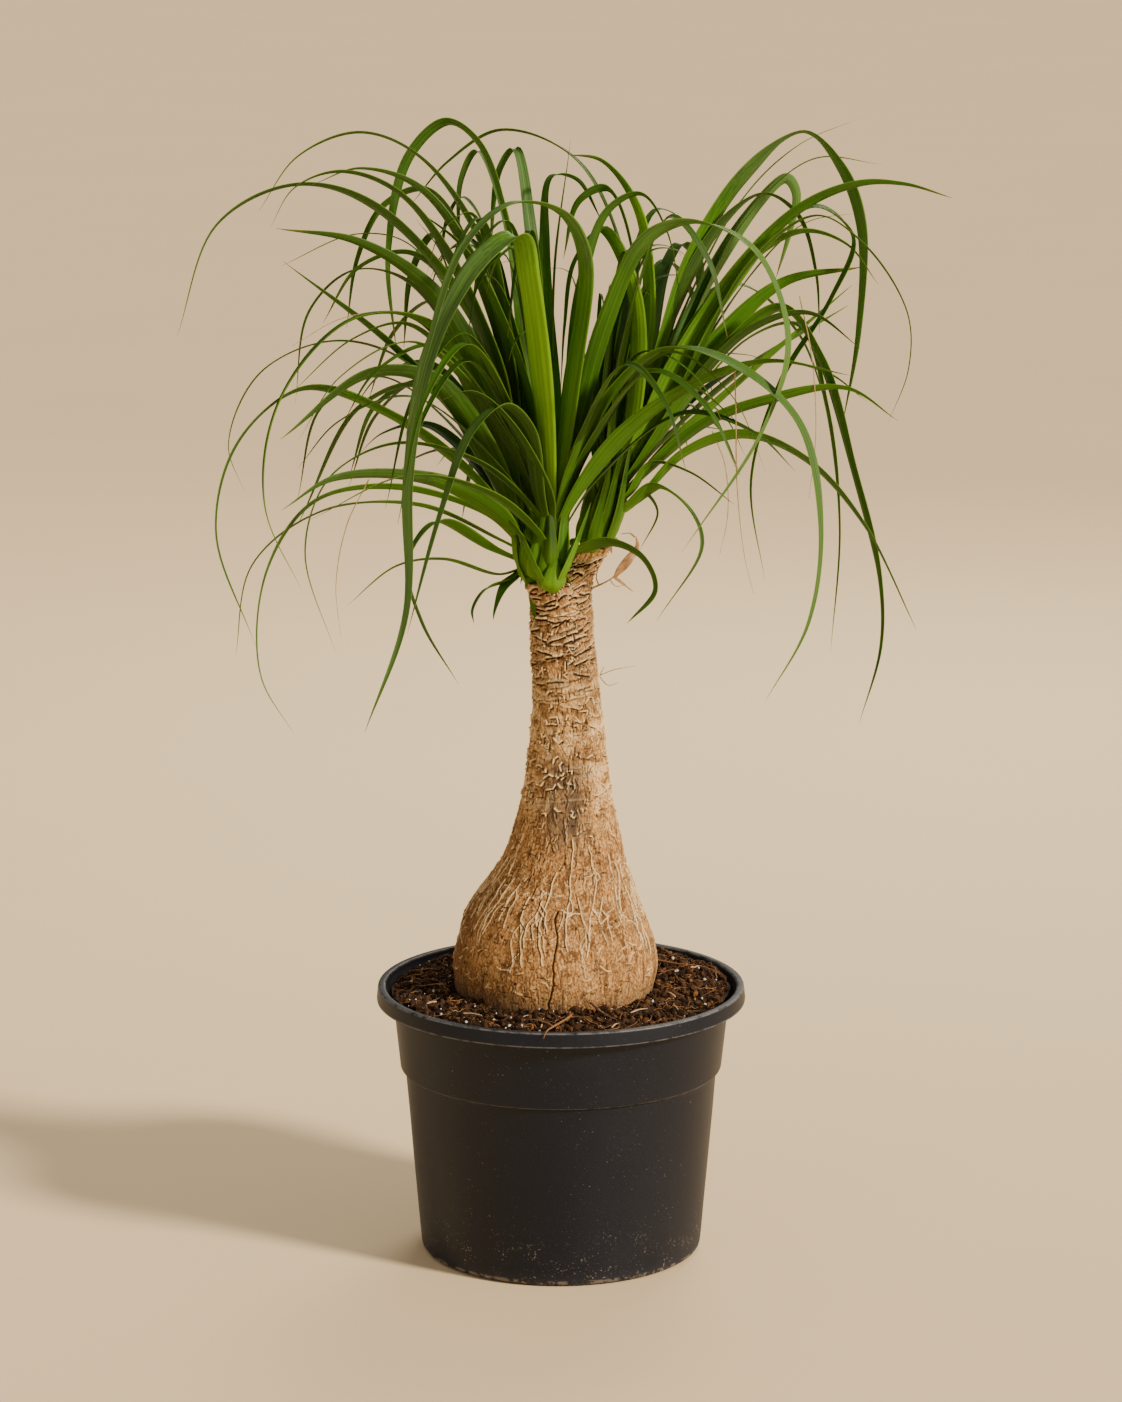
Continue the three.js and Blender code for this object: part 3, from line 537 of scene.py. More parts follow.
def drawVeins(bark, draw):
    # cream veins run down the bulb, part in forks and are tied by slanting cross veins
    tracks = []
    for vein in range(trunk["veins"]):
        angle = fullTurn * (vein + 0.5 * draw()) / trunk["veins"] + 0.02
        top, foot = between(draw, trunk["veinTop"]), between(draw, trunk["veinFoot"])
        path = wanderingPath(draw, angle, top, foot, 3.2, 2.3, bark.radiusAt)
        tracks.append((path, 0.62 + 0.3 * draw(), 0.9 + 0.1 * draw()))
    for path, width, pale in list(tracks):
        for fork in range(3):
            if draw() < 0.3:
                continue
            angle, z = path[int((0.15 + 0.7 * draw()) * (len(path) - 1))]
            lean = (1 if draw() < 0.5 else -1) * (2.5 + 3 * draw()) / float(bark.radiusAt(z))
            foot = z - 8 - 14 * draw()
            limb = wanderingPath(draw, angle + lean, z - 5, foot, 3.0, 2.2, bark.radiusAt)
            tracks.append(([(angle, z)] + limb, width * 0.8, pale * 0.85))
    for path, width, pale in tracks:
        # a little shade beside each vein makes it stand out
        bark.stroke(bark.beside(path, -0.8, -0.2), width * 0.8, -0.45, dark=0.75)
        bark.stroke(path, width, trunk["veinRise"], pale=pale)
    for tie in range(trunk["ties"]):
        angle, z = draw() * fullTurn, between(draw, trunk["tieHeights"])
        radius = float(bark.radiusAt(z))
        reach, fall = 2 + 6 * draw(), (draw() - 0.5) * 9
        middle = (angle + reach * 0.5 / radius, z + fall * 0.5 + (draw() - 0.5) * 3)
        end = (angle + reach / radius, z + fall)
        bark.stroke([(angle, z), middle, end], 0.6, 0.6, pale=0.4 + 0.6 * draw())


def drawCracks(bark, draw):
    # the long jagged crack down the front of the bulb
    crack = wanderingPath(draw, front + 0.01, *trunk["frontCrack"], 2.2, 1.5, bark.radiusAt, 0.1)
    bark.stroke(crack, 1.0, -1.9, dark=1.0)
    # upright fissures where the bulb narrows: greyest at the front, widest and most ragged at the left
    for fissure in range(trunk["fissures"]):
        place = draw()
        spread = draw() + draw() - 1
        width, depth, tone = 0.6 + 0.5 * draw(), -0.5 - 0.6 * draw(), 0.1 + 0.4 * draw()
        if place < 0.36:
            angle, top = front + 0.1 + spread * 0.62, 330 - 50 * draw()
            width, depth, tone = width * 0.9, depth * 0.65, tone * 1.1
        elif place < 0.56:
            angle, top = math.pi + 0.1 + spread * 0.5, 296 - 74 * draw()
            width, depth, tone = width * 1.7, depth * 1.3, 0.6 + 0.4 * draw()
        else:
            angle, top = draw() * fullTurn, 300 - 62 * draw()
        path = wanderingPath(draw, angle, top, top - 3 - 7 * draw(), 2.0, 1.9, bark.radiusAt, 0.3)
        bark.stroke(path, width, depth, dark=tone)
        if len(path) > 3:
            bark.stroke(bark.beside(path[1:-1], 1.2), 0.5, 0.6, pale=0.15 + 0.4 * draw())
    for short in range(trunk["shortCracks"]):
        angle, z = draw() * fullTurn, between(draw, trunk["crackHeights"])
        radius = float(bark.radiusAt(z))
        length = 1 + 4 * draw()
        level = draw() < 0.35
        slip = draw() - 0.5
        end = (angle + length / radius, z + slip) if level else (angle + slip / radius, z - length)
        bark.stroke([(angle, z), end], 0.6, -0.9, dark=0.55 + 0.45 * draw())
    for pit in range(trunk["pits"]):
        angle, z = draw() * fullTurn, between(draw, trunk["pitHeights"])
        bark.dab(angle, z, float(bark.radiusAt(z)), 1.2 + 0.9 * draw(), -1.3, 0, 0.9)


def drawChips(bark, draw, heights, count):
    # torn corky chips: a cream edge over a sunken dark stroke, which is partly the gap under the chip
    # and partly its painted shadow; the bold ones, most of them high up, are bent hooks
    for chip in range(count):
        z = between(draw, heights)
        level = float(smoothstep(268, 330, z))
        radius = float(bark.radiusAt(z))
        angle = draw() * fullTurn
        bold = draw() < 0.1 + 0.5 * level
        lying = draw() < 0.3 + 0.3 * level
        heading = (draw() - 0.5) * 1.7 if lying else math.pi / 2 + (draw() - 0.5) * 1.5
        size = (1.4 + 2.6 * draw() ** 1.5) * (1.5 + 0.8 * level if bold else 1)
        bend = (1 if draw() < 0.5 else -1) * (0.4 + 2.2 * draw()) if bold else (draw() - 0.5) * 2
        path = []
        for t in np.linspace(0, 1, 6):
            path.append((angle, z))
            turn = heading + (bend * 0.6 if t > 0.5 else -bend * 0.15)
            angle += size * 0.2 * math.cos(turn) / radius
            z += size * 0.2 * math.sin(turn)
        # painted shadow: the dark sunken stroke sits just below and to one side of each chip
        below = [(a + 0.7 / radius, h - 0.9) for a, h in path]
        bark.stroke(below, 1.0 if bold else 0.7, -1.1 if bold else -0.6,
                    dark=(0.6 if bold else 0.3) + 0.4 * draw() * (1 - 0.3 * level))
        bark.stroke(path, 0.75 + 0.35 * draw() if bold else 0.55, 1.3 if bold else 0.5,
                    pale=0.85 + 0.15 * draw() if bold else 0.2 + 0.5 * draw())


def drawStrips(bark, low, count, pitch, seed):
    # rows of old leaf bases: each row is torn into short plates that tilt their own way over a sunken
    # gap that is painted dark as shade
    rng = np.random.default_rng(seed)
    turn = bark.angle[None, :] / fullTurn
    height = bark.heights[:, None]
    plates = trunk["plates"]
    for strip in range(count):
        base = low + strip * pitch + 1.2 * math.sin(strip * 2.4)
        cell = (turn * plates + plates * rng.random()) % plates
        plate = cell.astype(int)
        within = cell - plate
        shift, tilt, bow = (rng.normal(0, spread, plates)[plate] for spread in (0.8, 0.9, 0.6))
        bold = np.clip(rng.normal(0.72, 0.45, plates), 0, 1.2)[plate]
        thick = (0.35 + 0.4 * rng.random(plates))[plate]
        tone = (0.5 + 0.5 * rng.random(plates))[plate]
        shade = rng.random(plates)[plate]
        ragged = latticeNoise(turn * 60, 0 * turn + strip * 1.3, seed + 200 + strip, 60)
        line = base + 3.2 * np.cos(bark.angle[None, :] - 0.5) + shift + (tilt + 0.5) * (2 * within - 1)
        offset = height - line - bow * (1 - (2 * within - 1) ** 2) - 0.4 * ragged
        ends = smoothstep(0, 0.1, within) * (1 - smoothstep(0.9, 1, within))
        worn = smoothstep(trunk["stripStart"] - 5, trunk["stripStart"] + 45, base)
        strength = bold * (0.3 + 0.7 * ends) * (0.25 + 0.75 * worn)
        # the face of a plate slants out to its lower lip, and a sunken gap lies under the lip, painted
        # dark as shade
        lip = np.exp(-np.abs((offset - 0.2) / thick) ** 2.6)
        face = np.where(offset > 0, np.clip(1 - offset / (pitch * 1.1), 0, 1), 0)
        groove = np.exp(-((offset + 0.55 + thick) / 0.65) ** 2)
        held = np.clip(strength, 0, 1)
        smooth = np.maximum(lip, smoothstep(0, 0.3, face))
        plateLift = (lip * 0.35 + face * 0.75 - groove) * strength * trunk["stripRise"]
        bark.lift = bark.lift * (1 - smooth * held) + plateLift
        bark.pale = np.maximum(bark.pale * (1 - np.maximum(groove, smooth) * held),
                               np.maximum(lip * tone, face * 0.45 * shade) * strength)
        bark.dark = np.maximum(bark.dark * (1 - lip * held), groove * np.clip(strength * 1.8, 0, 1))


def drawBars(bark, draw):
    # narrow upright splinters stand between the rows, each with a sunken dark line beside it that is
    # partly a crack and partly its painted shadow
    for bar in range(trunk["bars"]):
        angle, z, length = draw() * fullTurn, between(draw, trunk["barHeights"]), 2.5 + 5 * draw()
        radius = float(bark.radiusAt(z))
        lean = (draw() - 0.5) * 1.6 / radius
        foot, gap = (angle + lean, z - length), 0.9 / radius
        # painted shadow beside the splinter, also sunk as a crack
        bark.stroke([(angle + gap, z), (foot[0] + gap, foot[1])], 0.7, -0.9, dark=0.9)
        bark.stroke([(angle, z), foot], 0.8, 1.1, pale=0.5 + 0.5 * draw())


def drawScars(bark):
    angle = bark.angle[None, :]
    height = bark.heights[:, None]
    for scar in range(-1, 14):
        base = trunk["scarStart"] + scar * trunk["scarPitch"]
        tilt = trunk["scarTilt"] * math.sin(scar * 1.7) + trunk["scarTilt"] * 0.6
        wave = latticeNoise(angle / fullTurn * 20, 0 * angle + scar * 3.7, 40 + scar, 20)
        patch = latticeNoise(angle / fullTurn * 9, 0 * angle + scar * 5.3, 90 + scar, 9)
        offset = height - (base + tilt * np.cos(angle) + 1.6 * wave)
        strength = np.clip(0.1 + 1.3 * patch, 0, 1) * (0.2 + 0.6 * smoothstep(320, 380, base))
        lip = np.exp(-((offset - 0.4) / 0.6) ** 2) * strength
        groove = np.exp(-((offset + 0.9) / 0.6) ** 2) * strength
        bark.lift += 0.9 * lip - 0.7 * groove
        bark.pale = np.maximum(bark.pale, lip * 0.75)
        bark.dark = np.maximum(bark.dark, groove * 0.7)


def roughen(bark):
    turn = bark.angle[None, :] / fullTurn
    height = bark.heights[:, None] + 0 * turn
    mask = smoothstep(trunk["smoothBelow"] - 14, trunk["smoothBelow"] + 6, height)
    for cells, stretch, amount, seed in trunk["roughness"]:
        bark.lift += amount * latticeNoise(turn * cells, height / stretch, seed, cells) * mask


def trunkPaint():
    paint = Paint("corkyBark")
    brown, cream, grey = trunk["brown"], trunk["cream"], trunk["grey"]
    pale, dark = paint.value("pale"), paint.value("dark")
    across, depth, height = (paint.part(paint.place(), axis) for axis in range(3))
    blotch = paint.noise(26, 4.0, paint.place((1, 1, 0.6)), 0.6)
    streak = paint.noise(190, 4.0, paint.place((1, 1, 0.22)), 0.5)
    speckle = paint.noise(820, 3.0, paint.place((1, 1, 0.7)))
    coarse = paint.noise(330, 4.0, paint.place((1, 1, 0.5)), 0.6)
    patch = paint.noise(85, 3.0, paint.place((1, 1, 1.5)), 0.4)
    cells = paint.node("ShaderNodeTexVoronoi", {"feature": "DISTANCE_TO_EDGE"},
                       {"Vector": paint.place((1, 1, 0.4)), "Scale": 230.0})
    seams = 1 - cells.above(0.0, 0.09)
    upper = height.above(0.27, 0.32) * (1 - height.above(0.378, 0.392))
    # weathered grey at the front, where the bulb narrows
    smudge = height.above(0.262, 0.292) * (1 - height.above(0.320, 0.342))
    smudge = smudge * (1 - abs(across - 0.003).above(0.004, 0.020)) * (1 - depth.above(-0.012, 0.004))
    # painted shade: the left flank, turned away from the sun lamp, is painted darker brown
    leftSideShade = (1 - across.above(-0.066, -0.028)) * 0.45
    tint = paint.layers(trunk["ochre"], [
        (upper * 0.8, trunk["tan"]),
        (blotch.above(0.46, 0.66) * (0.8 - upper * 0.4), brown),
        (coarse.above(0.48, 0.60) * 0.6, trunk["tan"]),
        (patch.above(0.52, 0.58) * upper * 0.45, cream),
        ((1 - patch.above(0.40, 0.46)) * (0.12 + upper * 0.43), brown),
        (streak.above(0.52, 0.64) * (0.8 - upper * 0.2), brown),
        (seams * coarse.above(0.36, 0.56) * 0.55, brown),
        (speckle.above(0.53, 0.61) * (0.75 - upper * 0.25), brown),
        ((1 - speckle.above(0.36, 0.43)) * 0.35, cream),
        (smudge * (streak.above(0.25, 0.60) * 0.55 + 0.4), grey),
        (leftSideShade * blotch.above(0.3, 0.6), brown),
        ((1 - height.above(0.169, 0.190)) * 0.65, grey),  # greyer and darker towards the foot, below the bulge
        ((pale * (1.0 + coarse * 0.7)).maths("MINIMUM", 1.0), cream),
        ((dark * 1.25).maths("MINIMUM", 1.0), trunk["deep"]),
    ])
    grain = streak * 0.4 + speckle * 0.35 + coarse * 0.5 - seams * 0.35
    return paint.finish({
        "Base Color": tint,
        "Roughness": 0.9 - pale * 0.1,
        "Normal": paint.bump(grain, 0.7, 0.0010),
        "Specular IOR Level": 0.15})


def addSheet(mould, bark, middle, radius, fade):
    reach = radius + bark.lift * fade
    across = middle[:, :1] + reach * np.cos(bark.angle)
    depth = middle[:, 1:2] + reach * np.sin(bark.angle)
    points = np.stack([across, depth, middle[:, 2:] + 0 * reach], axis=-1)
    rows, columns = reach.shape
    faces = gridFaces(rows, columns, True).tolist()
    top = rows * columns
    faces += [[top, top - columns + i, top - columns + (i + 1) % columns] for i in range(columns)]
    faces += [[top + 1, (i + 1) % columns, i] for i in range(columns)]
    mould.add(np.vstack([points.reshape(-1, 3), middle[-1], middle[0]]), faces,
              pale=np.append(np.clip(bark.pale, 0, 1).ravel(), [0, 0]),
              dark=np.append(np.clip(bark.dark, 0, 1).ravel(), [0, 0]))


def makeTrunk():
    draw = seededRandom(trunk["seed"])
    heights = np.arange(trunk["lowest"], trunk["stations"][-1][0] + 0.01, trunk["rowStep"])

    def radiusAt(z):
        return stationValue(trunk["stations"], z, 1)
    bark = Bark(heights, trunk["columns"], radiusAt)
    drawChips(bark, draw, trunk["chipHeights"], trunk["chips"])
    drawScars(bark)
    drawStrips(bark, trunk["stripStart"], trunk["strips"], trunk["stripPitch"], trunk["stripSeed"])
    drawBars(bark, draw)
    drawVeins(bark, seededRandom(trunk["veinSeed"]))
    drawCracks(bark, draw)
    roughen(bark)
    height = heights[:, None]
    across = stationValue(trunk["stations"], heights, 2)
    back = trunk["forkBack"] * smoothstep(*trunk["forkTurn"], heights)
    middle = np.stack([across, back, heights], axis=-1)
    fade = smoothstep(*trunk["growIn"], height)
    fade = fade * (1 - trunk["fadeShare"] * smoothstep(*trunk["fadeOut"], height))
    mould = Mould()
    addSheet(mould, bark, middle, radiusAt(height), fade)
    fork = trunk["leftFork"]
    places = np.array([place for place, _ in fork], float)
    radii = np.array([radius for _, radius in fork], float)
    heights = np.arange(places[0, 2], places[-1, 2], trunk["limbRowStep"])
    limb = Bark(heights, trunk["limbColumns"], lambda z: np.interp(z, places[:, 2], radii))
    drawChips(limb, draw, (places[0, 2], places[-1, 2]), trunk["limbChips"])
    drawStrips(limb, places[0, 2] - 3, trunk["limbStrips"], trunk["limbPitch"], trunk["limbSeed"])
    roughen(limb)
    middle = np.stack([np.interp(heights, places[:, 2], places[:, axis]) for axis in range(3)], axis=-1)
    addSheet(mould, limb, middle, limb.radiusAt(heights)[:, None], 1.0)
    mould.piece("trunkBark", trunkPaint(), "bark", "trunk")


makeTrunk()
print("stage: trunk")

soil = {
    "level": 174, "mound": 2, "edge": 108.5, "backRise": 2.4, "seed": 31,
    "trunkAcross": -4.5, "trunkRadius": 64.5,
    "bedRings": 96, "bedColumns": 300, "bedDepth": 1.2, "bedLowest": 166.5,
    # size, shift, seed and height of the lumps, from coarse to fine
    "lumps": [(13, 40, 21, 1.6), (5, 80, 22, 1.3), (2.2, 120, 23, 0.7)],
    # least size, how much larger they may be, and how rare the large ones are
    "crumbs": 5600, "crumbSize": (0.5, 1.9, 2.6), "grains": 118, "grainSize": (0.45, 0.95, 2),
    "fibres": 300, "straws": 14,
    "dark": (0.017, 0.009, 0.005), "brown": (0.085, 0.041, 0.018), "rust": (0.30, 0.125, 0.040),
    "grain": (0.82, 0.80, 0.75), "grainShade": (0.62, 0.57, 0.5),
    "fibre": (0.38, 0.175, 0.060), "fibreDark": (0.09, 0.042, 0.02), "fibrePale": (0.5, 0.31, 0.16),
    "straw": (0.62, 0.45, 0.27),
    # roots on top, the first one over the front rim: radius, tone, route
    "roots": [
        (0.85, 0.6, [(7, -72, 176), (4, -88, 178), (-2, -103, 178.5), (-6, -113, 179),
                     (-9, -119.5, 178.5), (-11, -121, 174)]),
        (0.55, 0.75, [(-5, -110, 179), (-9, -104, 179.5), (-16, -97, 179.5), (-24, -90, 178)]),
        (0.9, 0.05, [(19, -66, 182), (24, -72, 179), (30, -78, 176.5), (36, -86, 176)]),
        (0.75, 0.6, [(40, 62, 182), (58, 50, 180), (76, 38, 179.5), (94, 26, 180.5), (104, 14, 179)]),
    ],
}


def soilHeight(x, y):
    radius = np.hypot(x, y)
    angle = np.arctan2(y, x)
    lift = soil["level"] + soil["mound"] * (1 - smoothstep(70, 110, radius))
    backSide = np.maximum(0, np.cos(angle - math.pi / 4))
    lift = lift + soil["backRise"] * backSide * smoothstep(60, 100, radius)
    for size, shift, seed, amount in soil["lumps"]:
        lift = lift + amount * latticeNoise(x / size + shift, y / size + shift, seed)
    return lift


def soilPaint():
    paint = Paint("pottingSoil")
    tone = paint.value("tone")
    clods = paint.noise(150, 5.0)
    fine = paint.noise(900, 3.0)
    stops = [(0.25, soil["dark"]), (0.62, soil["brown"]), (0.95, soil["rust"])]
    tint = paint.ramp(tone * 0.7 + clods * 0.3, stops)
    return paint.finish({
        "Base Color": paint.mix(fine.above(0.55, 0.75) * 0.5, tint, soil["dark"]),
        "Roughness": 0.95,
        "Normal": paint.bump(clods * 0.6 + fine * 0.4, 0.8, 0.0012),
        "Specular IOR Level": 0.2})


def plainPaint(name, colour, other, roughness, scale):
    paint = Paint(name)
    shade = paint.noise(scale, 4.0)
    return paint.finish({
        "Base Color": paint.mix(shade.above(0.35, 0.65), colour, other),
        "Roughness": roughness,
        "Normal": paint.bump(shade, 0.4, 0.0005)})


def lumpShape():
    made = bmesh.new()
    bmesh.ops.create_icosphere(made, subdivisions=1, radius=1.0)
    points = np.array([vertex.co[:] for vertex in made.verts])
    faces = [[vertex.index for vertex in face.verts] for face in made.faces]
    made.free()
    return points, faces


def scatterLumps(mould, rng, places, sizes, tones, squash=0.75, roughness=0.35):
    points, faces = lumpShape()
    for place, size, tone in zip(places, sizes, tones):
        turn = np.linalg.qr(rng.normal(size=(3, 3)))[0]
        shape = points * (1 + roughness * (rng.random((len(points), 1)) - 0.5) * 2)
        shape = (shape * np.array([1, 0.8 + 0.4 * rng.random(), squash])) @ turn.T
        mould.add(shape * size + place, faces, tone=tone)


def freeRadius(x, y):  # how far a spot is clear of the trunk
    return np.hypot(x - soil["trunkAcross"], y) - soil["trunkRadius"]


def soilSpots(rng, count):
    spots = []
    while len(spots) < count:
        radius, angle = soil["edge"] * math.sqrt(rng.random()), rng.random() * fullTurn
        x, y = radius * math.cos(angle), radius * math.sin(angle)
        if freeRadius(x, y) > 1.0:
            spots.append((x, y))
    return np.array(spots)


def sizedSpots(rng, count, least, more, power):
    spots = soilSpots(rng, count)
    return spots, least + more * rng.random(len(spots)) ** power


def threadMesh(mould, rng, route, radius, tone, sides=5, steps=8):
    places = curveThrough(np.array(route, float), steps)
    along = unit(np.gradient(places, axis=0))
    across = unit(np.cross(along, np.array([0.3, 0.2, 1.0])))
    other = np.cross(along, across)
    share = np.linspace(0, 1, len(places))
    thick = radius * (1 - 0.75 * share**2) * (0.8 + 0.4 * rng.random(len(places)))
    angle = anglesRound(sides)[None, :, None]
    outward = across[:, None, :] * np.cos(angle) + other[:, None, :] * np.sin(angle)
    rings = places[:, None, :] + thick[:, None, None] * outward
    rows = len(places)
    faces = gridFaces(rows, sides, True).tolist()
    faces += [list(range(sides))[::-1], [(rows - 1) * sides + i for i in range(sides)]]
    mould.add(rings.reshape(-1, 3), faces, tone=tone, along=np.repeat(share, sides))


def spanWeights(points):
    gaps = np.sqrt(np.linalg.norm(np.diff(points, axis=0), axis=1))
    return np.maximum(gaps, 1e-3)


# A smooth curve through points: even shares of each span give the places at spans * steps + 1 stops.
def curveThrough(points, steps, stops=None):
    spans = len(points) - 1
    full = np.vstack([2 * points[0] - points[1], points, 2 * points[-1] - points[-2]])
    gaps = spanWeights(full)
    stops = np.linspace(0, spans, spans * steps + 1) if stops is None else np.asarray(stops, float)
    span = np.minimum(stops.astype(int), spans - 1)
    t = (stops - span)[:, None]
    a, b, c, d = full[span], full[span + 1], full[span + 2], full[span + 3]
    g0, g1, g2 = gaps[span][:, None], gaps[span + 1][:, None], gaps[span + 2][:, None]
    start = ((b - a) / g0 - (c - a) / (g0 + g1) + (c - b) / g1) * g1
    finish = ((c - b) / g1 - (d - b) / (g1 + g2) + (d - c) / g2) * g1
    return ((2 * t**3 - 3 * t**2 + 1) * b + (t**3 - 2 * t**2 + t) * start
            + (3 * t**2 - 2 * t**3) * c + (t**3 - t**2) * finish)


def makeSoil():
    rng = np.random.default_rng(soil["seed"])
    paint = soilPaint()
    bed = Mould()
    rings, columns = soil["bedRings"], soil["bedColumns"]
    radius = np.linspace(1.0, soil["edge"] + 1.7, rings)[:, None]
    angle = anglesRound(columns)[None, :]
    x, y = radius * np.cos(angle), radius * np.sin(angle)
    z = np.maximum(soilHeight(x, y) - soil["bedDepth"], soil["bedLowest"])
    tone = 0.3 + 0.25 * latticeNoise(x / 9 + 30, y / 9 + 30, 25)
    bed.add(np.stack([x, y, z], axis=-1), gridFaces(rings, columns, True), tone=tone.ravel())
    bed.piece("soilBed", paint, "soil", "soil")
    crumbs = Mould()
    spots, sizes = sizedSpots(rng, soil["crumbs"], *soil["crumbSize"])
    tones = np.clip(rng.normal(0.42, 0.24, len(spots)), 0, 1)
    lift = soilHeight(spots[:, 0], spots[:, 1]) - 1.0 + sizes * rng.random(len(spots)) * 0.7
    scatterLumps(crumbs, rng, np.column_stack([spots, lift]), sizes, tones)
    crumbs.piece("soilCrumbs", paint, "soil", "soil", smooth=False)
    grains = Mould()
    spots, sizes = sizedSpots(rng, soil["grains"], *soil["grainSize"])
    lift = soilHeight(spots[:, 0], spots[:, 1]) + sizes * 0.35
    scatterLumps(grains, rng, np.column_stack([spots, lift]), sizes, np.ones(len(spots)), 0.85, 0.2)
    white = plainPaint("paleGrains", soil["grain"], soil["grainShade"], 0.8, 500)
    grains.piece("paleGrains", white, "soil", "soil")
    makeFibres(rng)


def makeFibres(rng):
    fibres = Mould()
    for spot in soilSpots(rng, soil["fibres"]):
        heading, length = rng.random() * fullTurn, 5 + 17 * rng.random() ** 2
        route, x, y = [], spot[0], spot[1]
        for step in range(5):
            if freeRadius(x, y) < 0.8 or math.hypot(x, y) > soil["edge"]:
                break
            route.append((x, y, float(soilHeight(x, y)) + 0.2 + 1.6 * rng.random()))
            heading += (rng.random() - 0.5) * 1.3
            x, y = x + length / 4 * math.cos(heading), y + length / 4 * math.sin(heading)
        if len(route) > 2:
            threadMesh(fibres, rng, route, 0.16 + 0.3 * rng.random() ** 2, rng.random())
    for spot in soilSpots(rng, soil["straws"]):
        turn, length = rng.random() * fullTurn, 3 + 5 * rng.random()
        x, y = spot * 0.93
        z = float(soilHeight(x, y)) + 2.2
        run, side = math.cos(turn) * length, math.sin(turn) * length
        route = [(x + run * k, y + side * k, z - 0.8 * abs(k)) for k in (-1, 0, 1)]
        if min(freeRadius(a, b) for a, b, _ in route) > 1:
            threadMesh(fibres, rng, route, 0.5, 2.0, steps=3)
    for radius, tone, route in soil["roots"]:
        threadMesh(fibres, rng, route, radius, tone, 7)
    paint = Paint("rootFibre")
    tone = paint.value("tone")
    twist = paint.noise(400, 3.0)
    tint = paint.layers(soil["fibreDark"], [
        (tone, soil["fibre"]), (tone.above(1.2, 1.8), soil["straw"]),
        (twist.above(0.45, 0.7) * 0.4, soil["fibrePale"])])
    normal = paint.bump(twist, 0.5, 0.0004)
    fibrePaint = paint.finish({"Base Color": tint, "Roughness": 0.85, "Normal": normal})
    fibres.piece("rootFibres", fibrePaint, "soil", "soil")


makeSoil()
print("stage: soil")

leafSizes = {
    "thickness": 0.45, "edgeThickness": 0.2, "keel": 0.1, "neck": 0.5, "neckReach": 0.26,
    "taperStart": 1.32, "taperPower": 0.8, "minWidth": 0.7, "rootRoll": 0.4, "rollGain": 1.2,
    "stepsPerSpan": 12, "columns": 11, "seed": 9,
    "seatHeight": 30, "seatRadius": 5, "clearance": 2.5, "bladeShare": 0.36,
    # how a folded leaf turns edge-on at its highest place and hangs beyond it
    "foldSpan": 0.07, "foldTurn": 0.9, "foldHang": 0.4, "foldReach": 0.15,
}
leafColours = {
    # from the darkest to the lightest green
    "greens": [(0.0, (0.0020, 0.014, 0.0005)), (0.35, (0.012, 0.067, 0.0006)),
               (0.7, (0.098, 0.305, 0.0006)), (1.0, (0.37, 0.80, 0.0006))],
    # the grey-green of hanging halves is partly the blade's own colour and partly painted sheen
    "glaucousAndSheen": (0.165, 0.34, 0.105), "paleLine": (0.22, 0.41, 0.020),
    "darkLine": (0.002, 0.016, 0.0008), "rib": (0.22, 0.44, 0.015), "base": (0.24, 0.46, 0.003),
    # the edge colour is a painted highlight along the blade edges
    "edge": (0.26, 0.44, 0.03), "tip": (0.26, 0.22, 0.05), "withered": (0.42, 0.25, 0.11),
    "under": (0.055, 0.13, 0.012),
    "through": (0.22, 0.54, 0.001), "throughShare": 0.2,
}
leafLimits = [np.array(cadBounds[0]) / mm + 0.05, np.array(cadBounds[1]) / mm - 0.05]
crownBase = {"left": (-20, 2, 452), "front": (-6, -11, 450), "right": (24, 8, 470)}
# middle and radius of the clasping leaf bases, bottom to top
crownCore = {
    "left": [(-15, -5, 446, 8), (-20, 0, 455, 11), (-25, 3, 475, 8), (-29, 4, 500, 3)],
    "front": [(-10, -11, 445, 10.5), (-8, -12.5, 453, 12.5), (-6, -12.5, 476, 9), (-5, -13, 505, 3.5)],
    "right": [(20.8, 8, 464.8, 11.8), (24, 8, 474, 13), (29, 8, 497, 9), (34, 8, 524, 3.5)],
}
crownFoot = {
    "sheaths": 20, "bracts": 4, "firstSheath": {"left": 3.9, "front": 4.55, "right": 4.4},
    "clasps": [
        (11, (0.2, 0.2, 0.0, 0.5), [(-7, -20, 448), (-6, -25, 460), (-6, -25, 476), (-7, -22, 500)]),
        (14, (0.8, 0.5, 0.0, 0.6), [
            (-4, -20, 443), (-2, -26.6, 450), (3, -26.6, 462), (10, -24, 477), (19, -20, 498)]),
        (15, (0.65, 0.4, 0.0, 0.6), [
            (-8, -19, 443), (-10, -26, 450), (-15, -25.4, 462), (-24, -21.5, 477), (-37, -18, 492)]),
        (20, (0.75, 0.5, 0.0, 0.7), [
            (-5.5, -21, 443.5), (-5, -26.4, 446.5), (-4.5, -27.3, 452), (-4, -26.6, 458),
            (-3, -25, 464)]),
    ],
    "trunkBract": [(-13, -11, 447), (-17.8, -13.6, 441), (-18, -14.2, 430), (-16.4, -13.6, 419)],
}
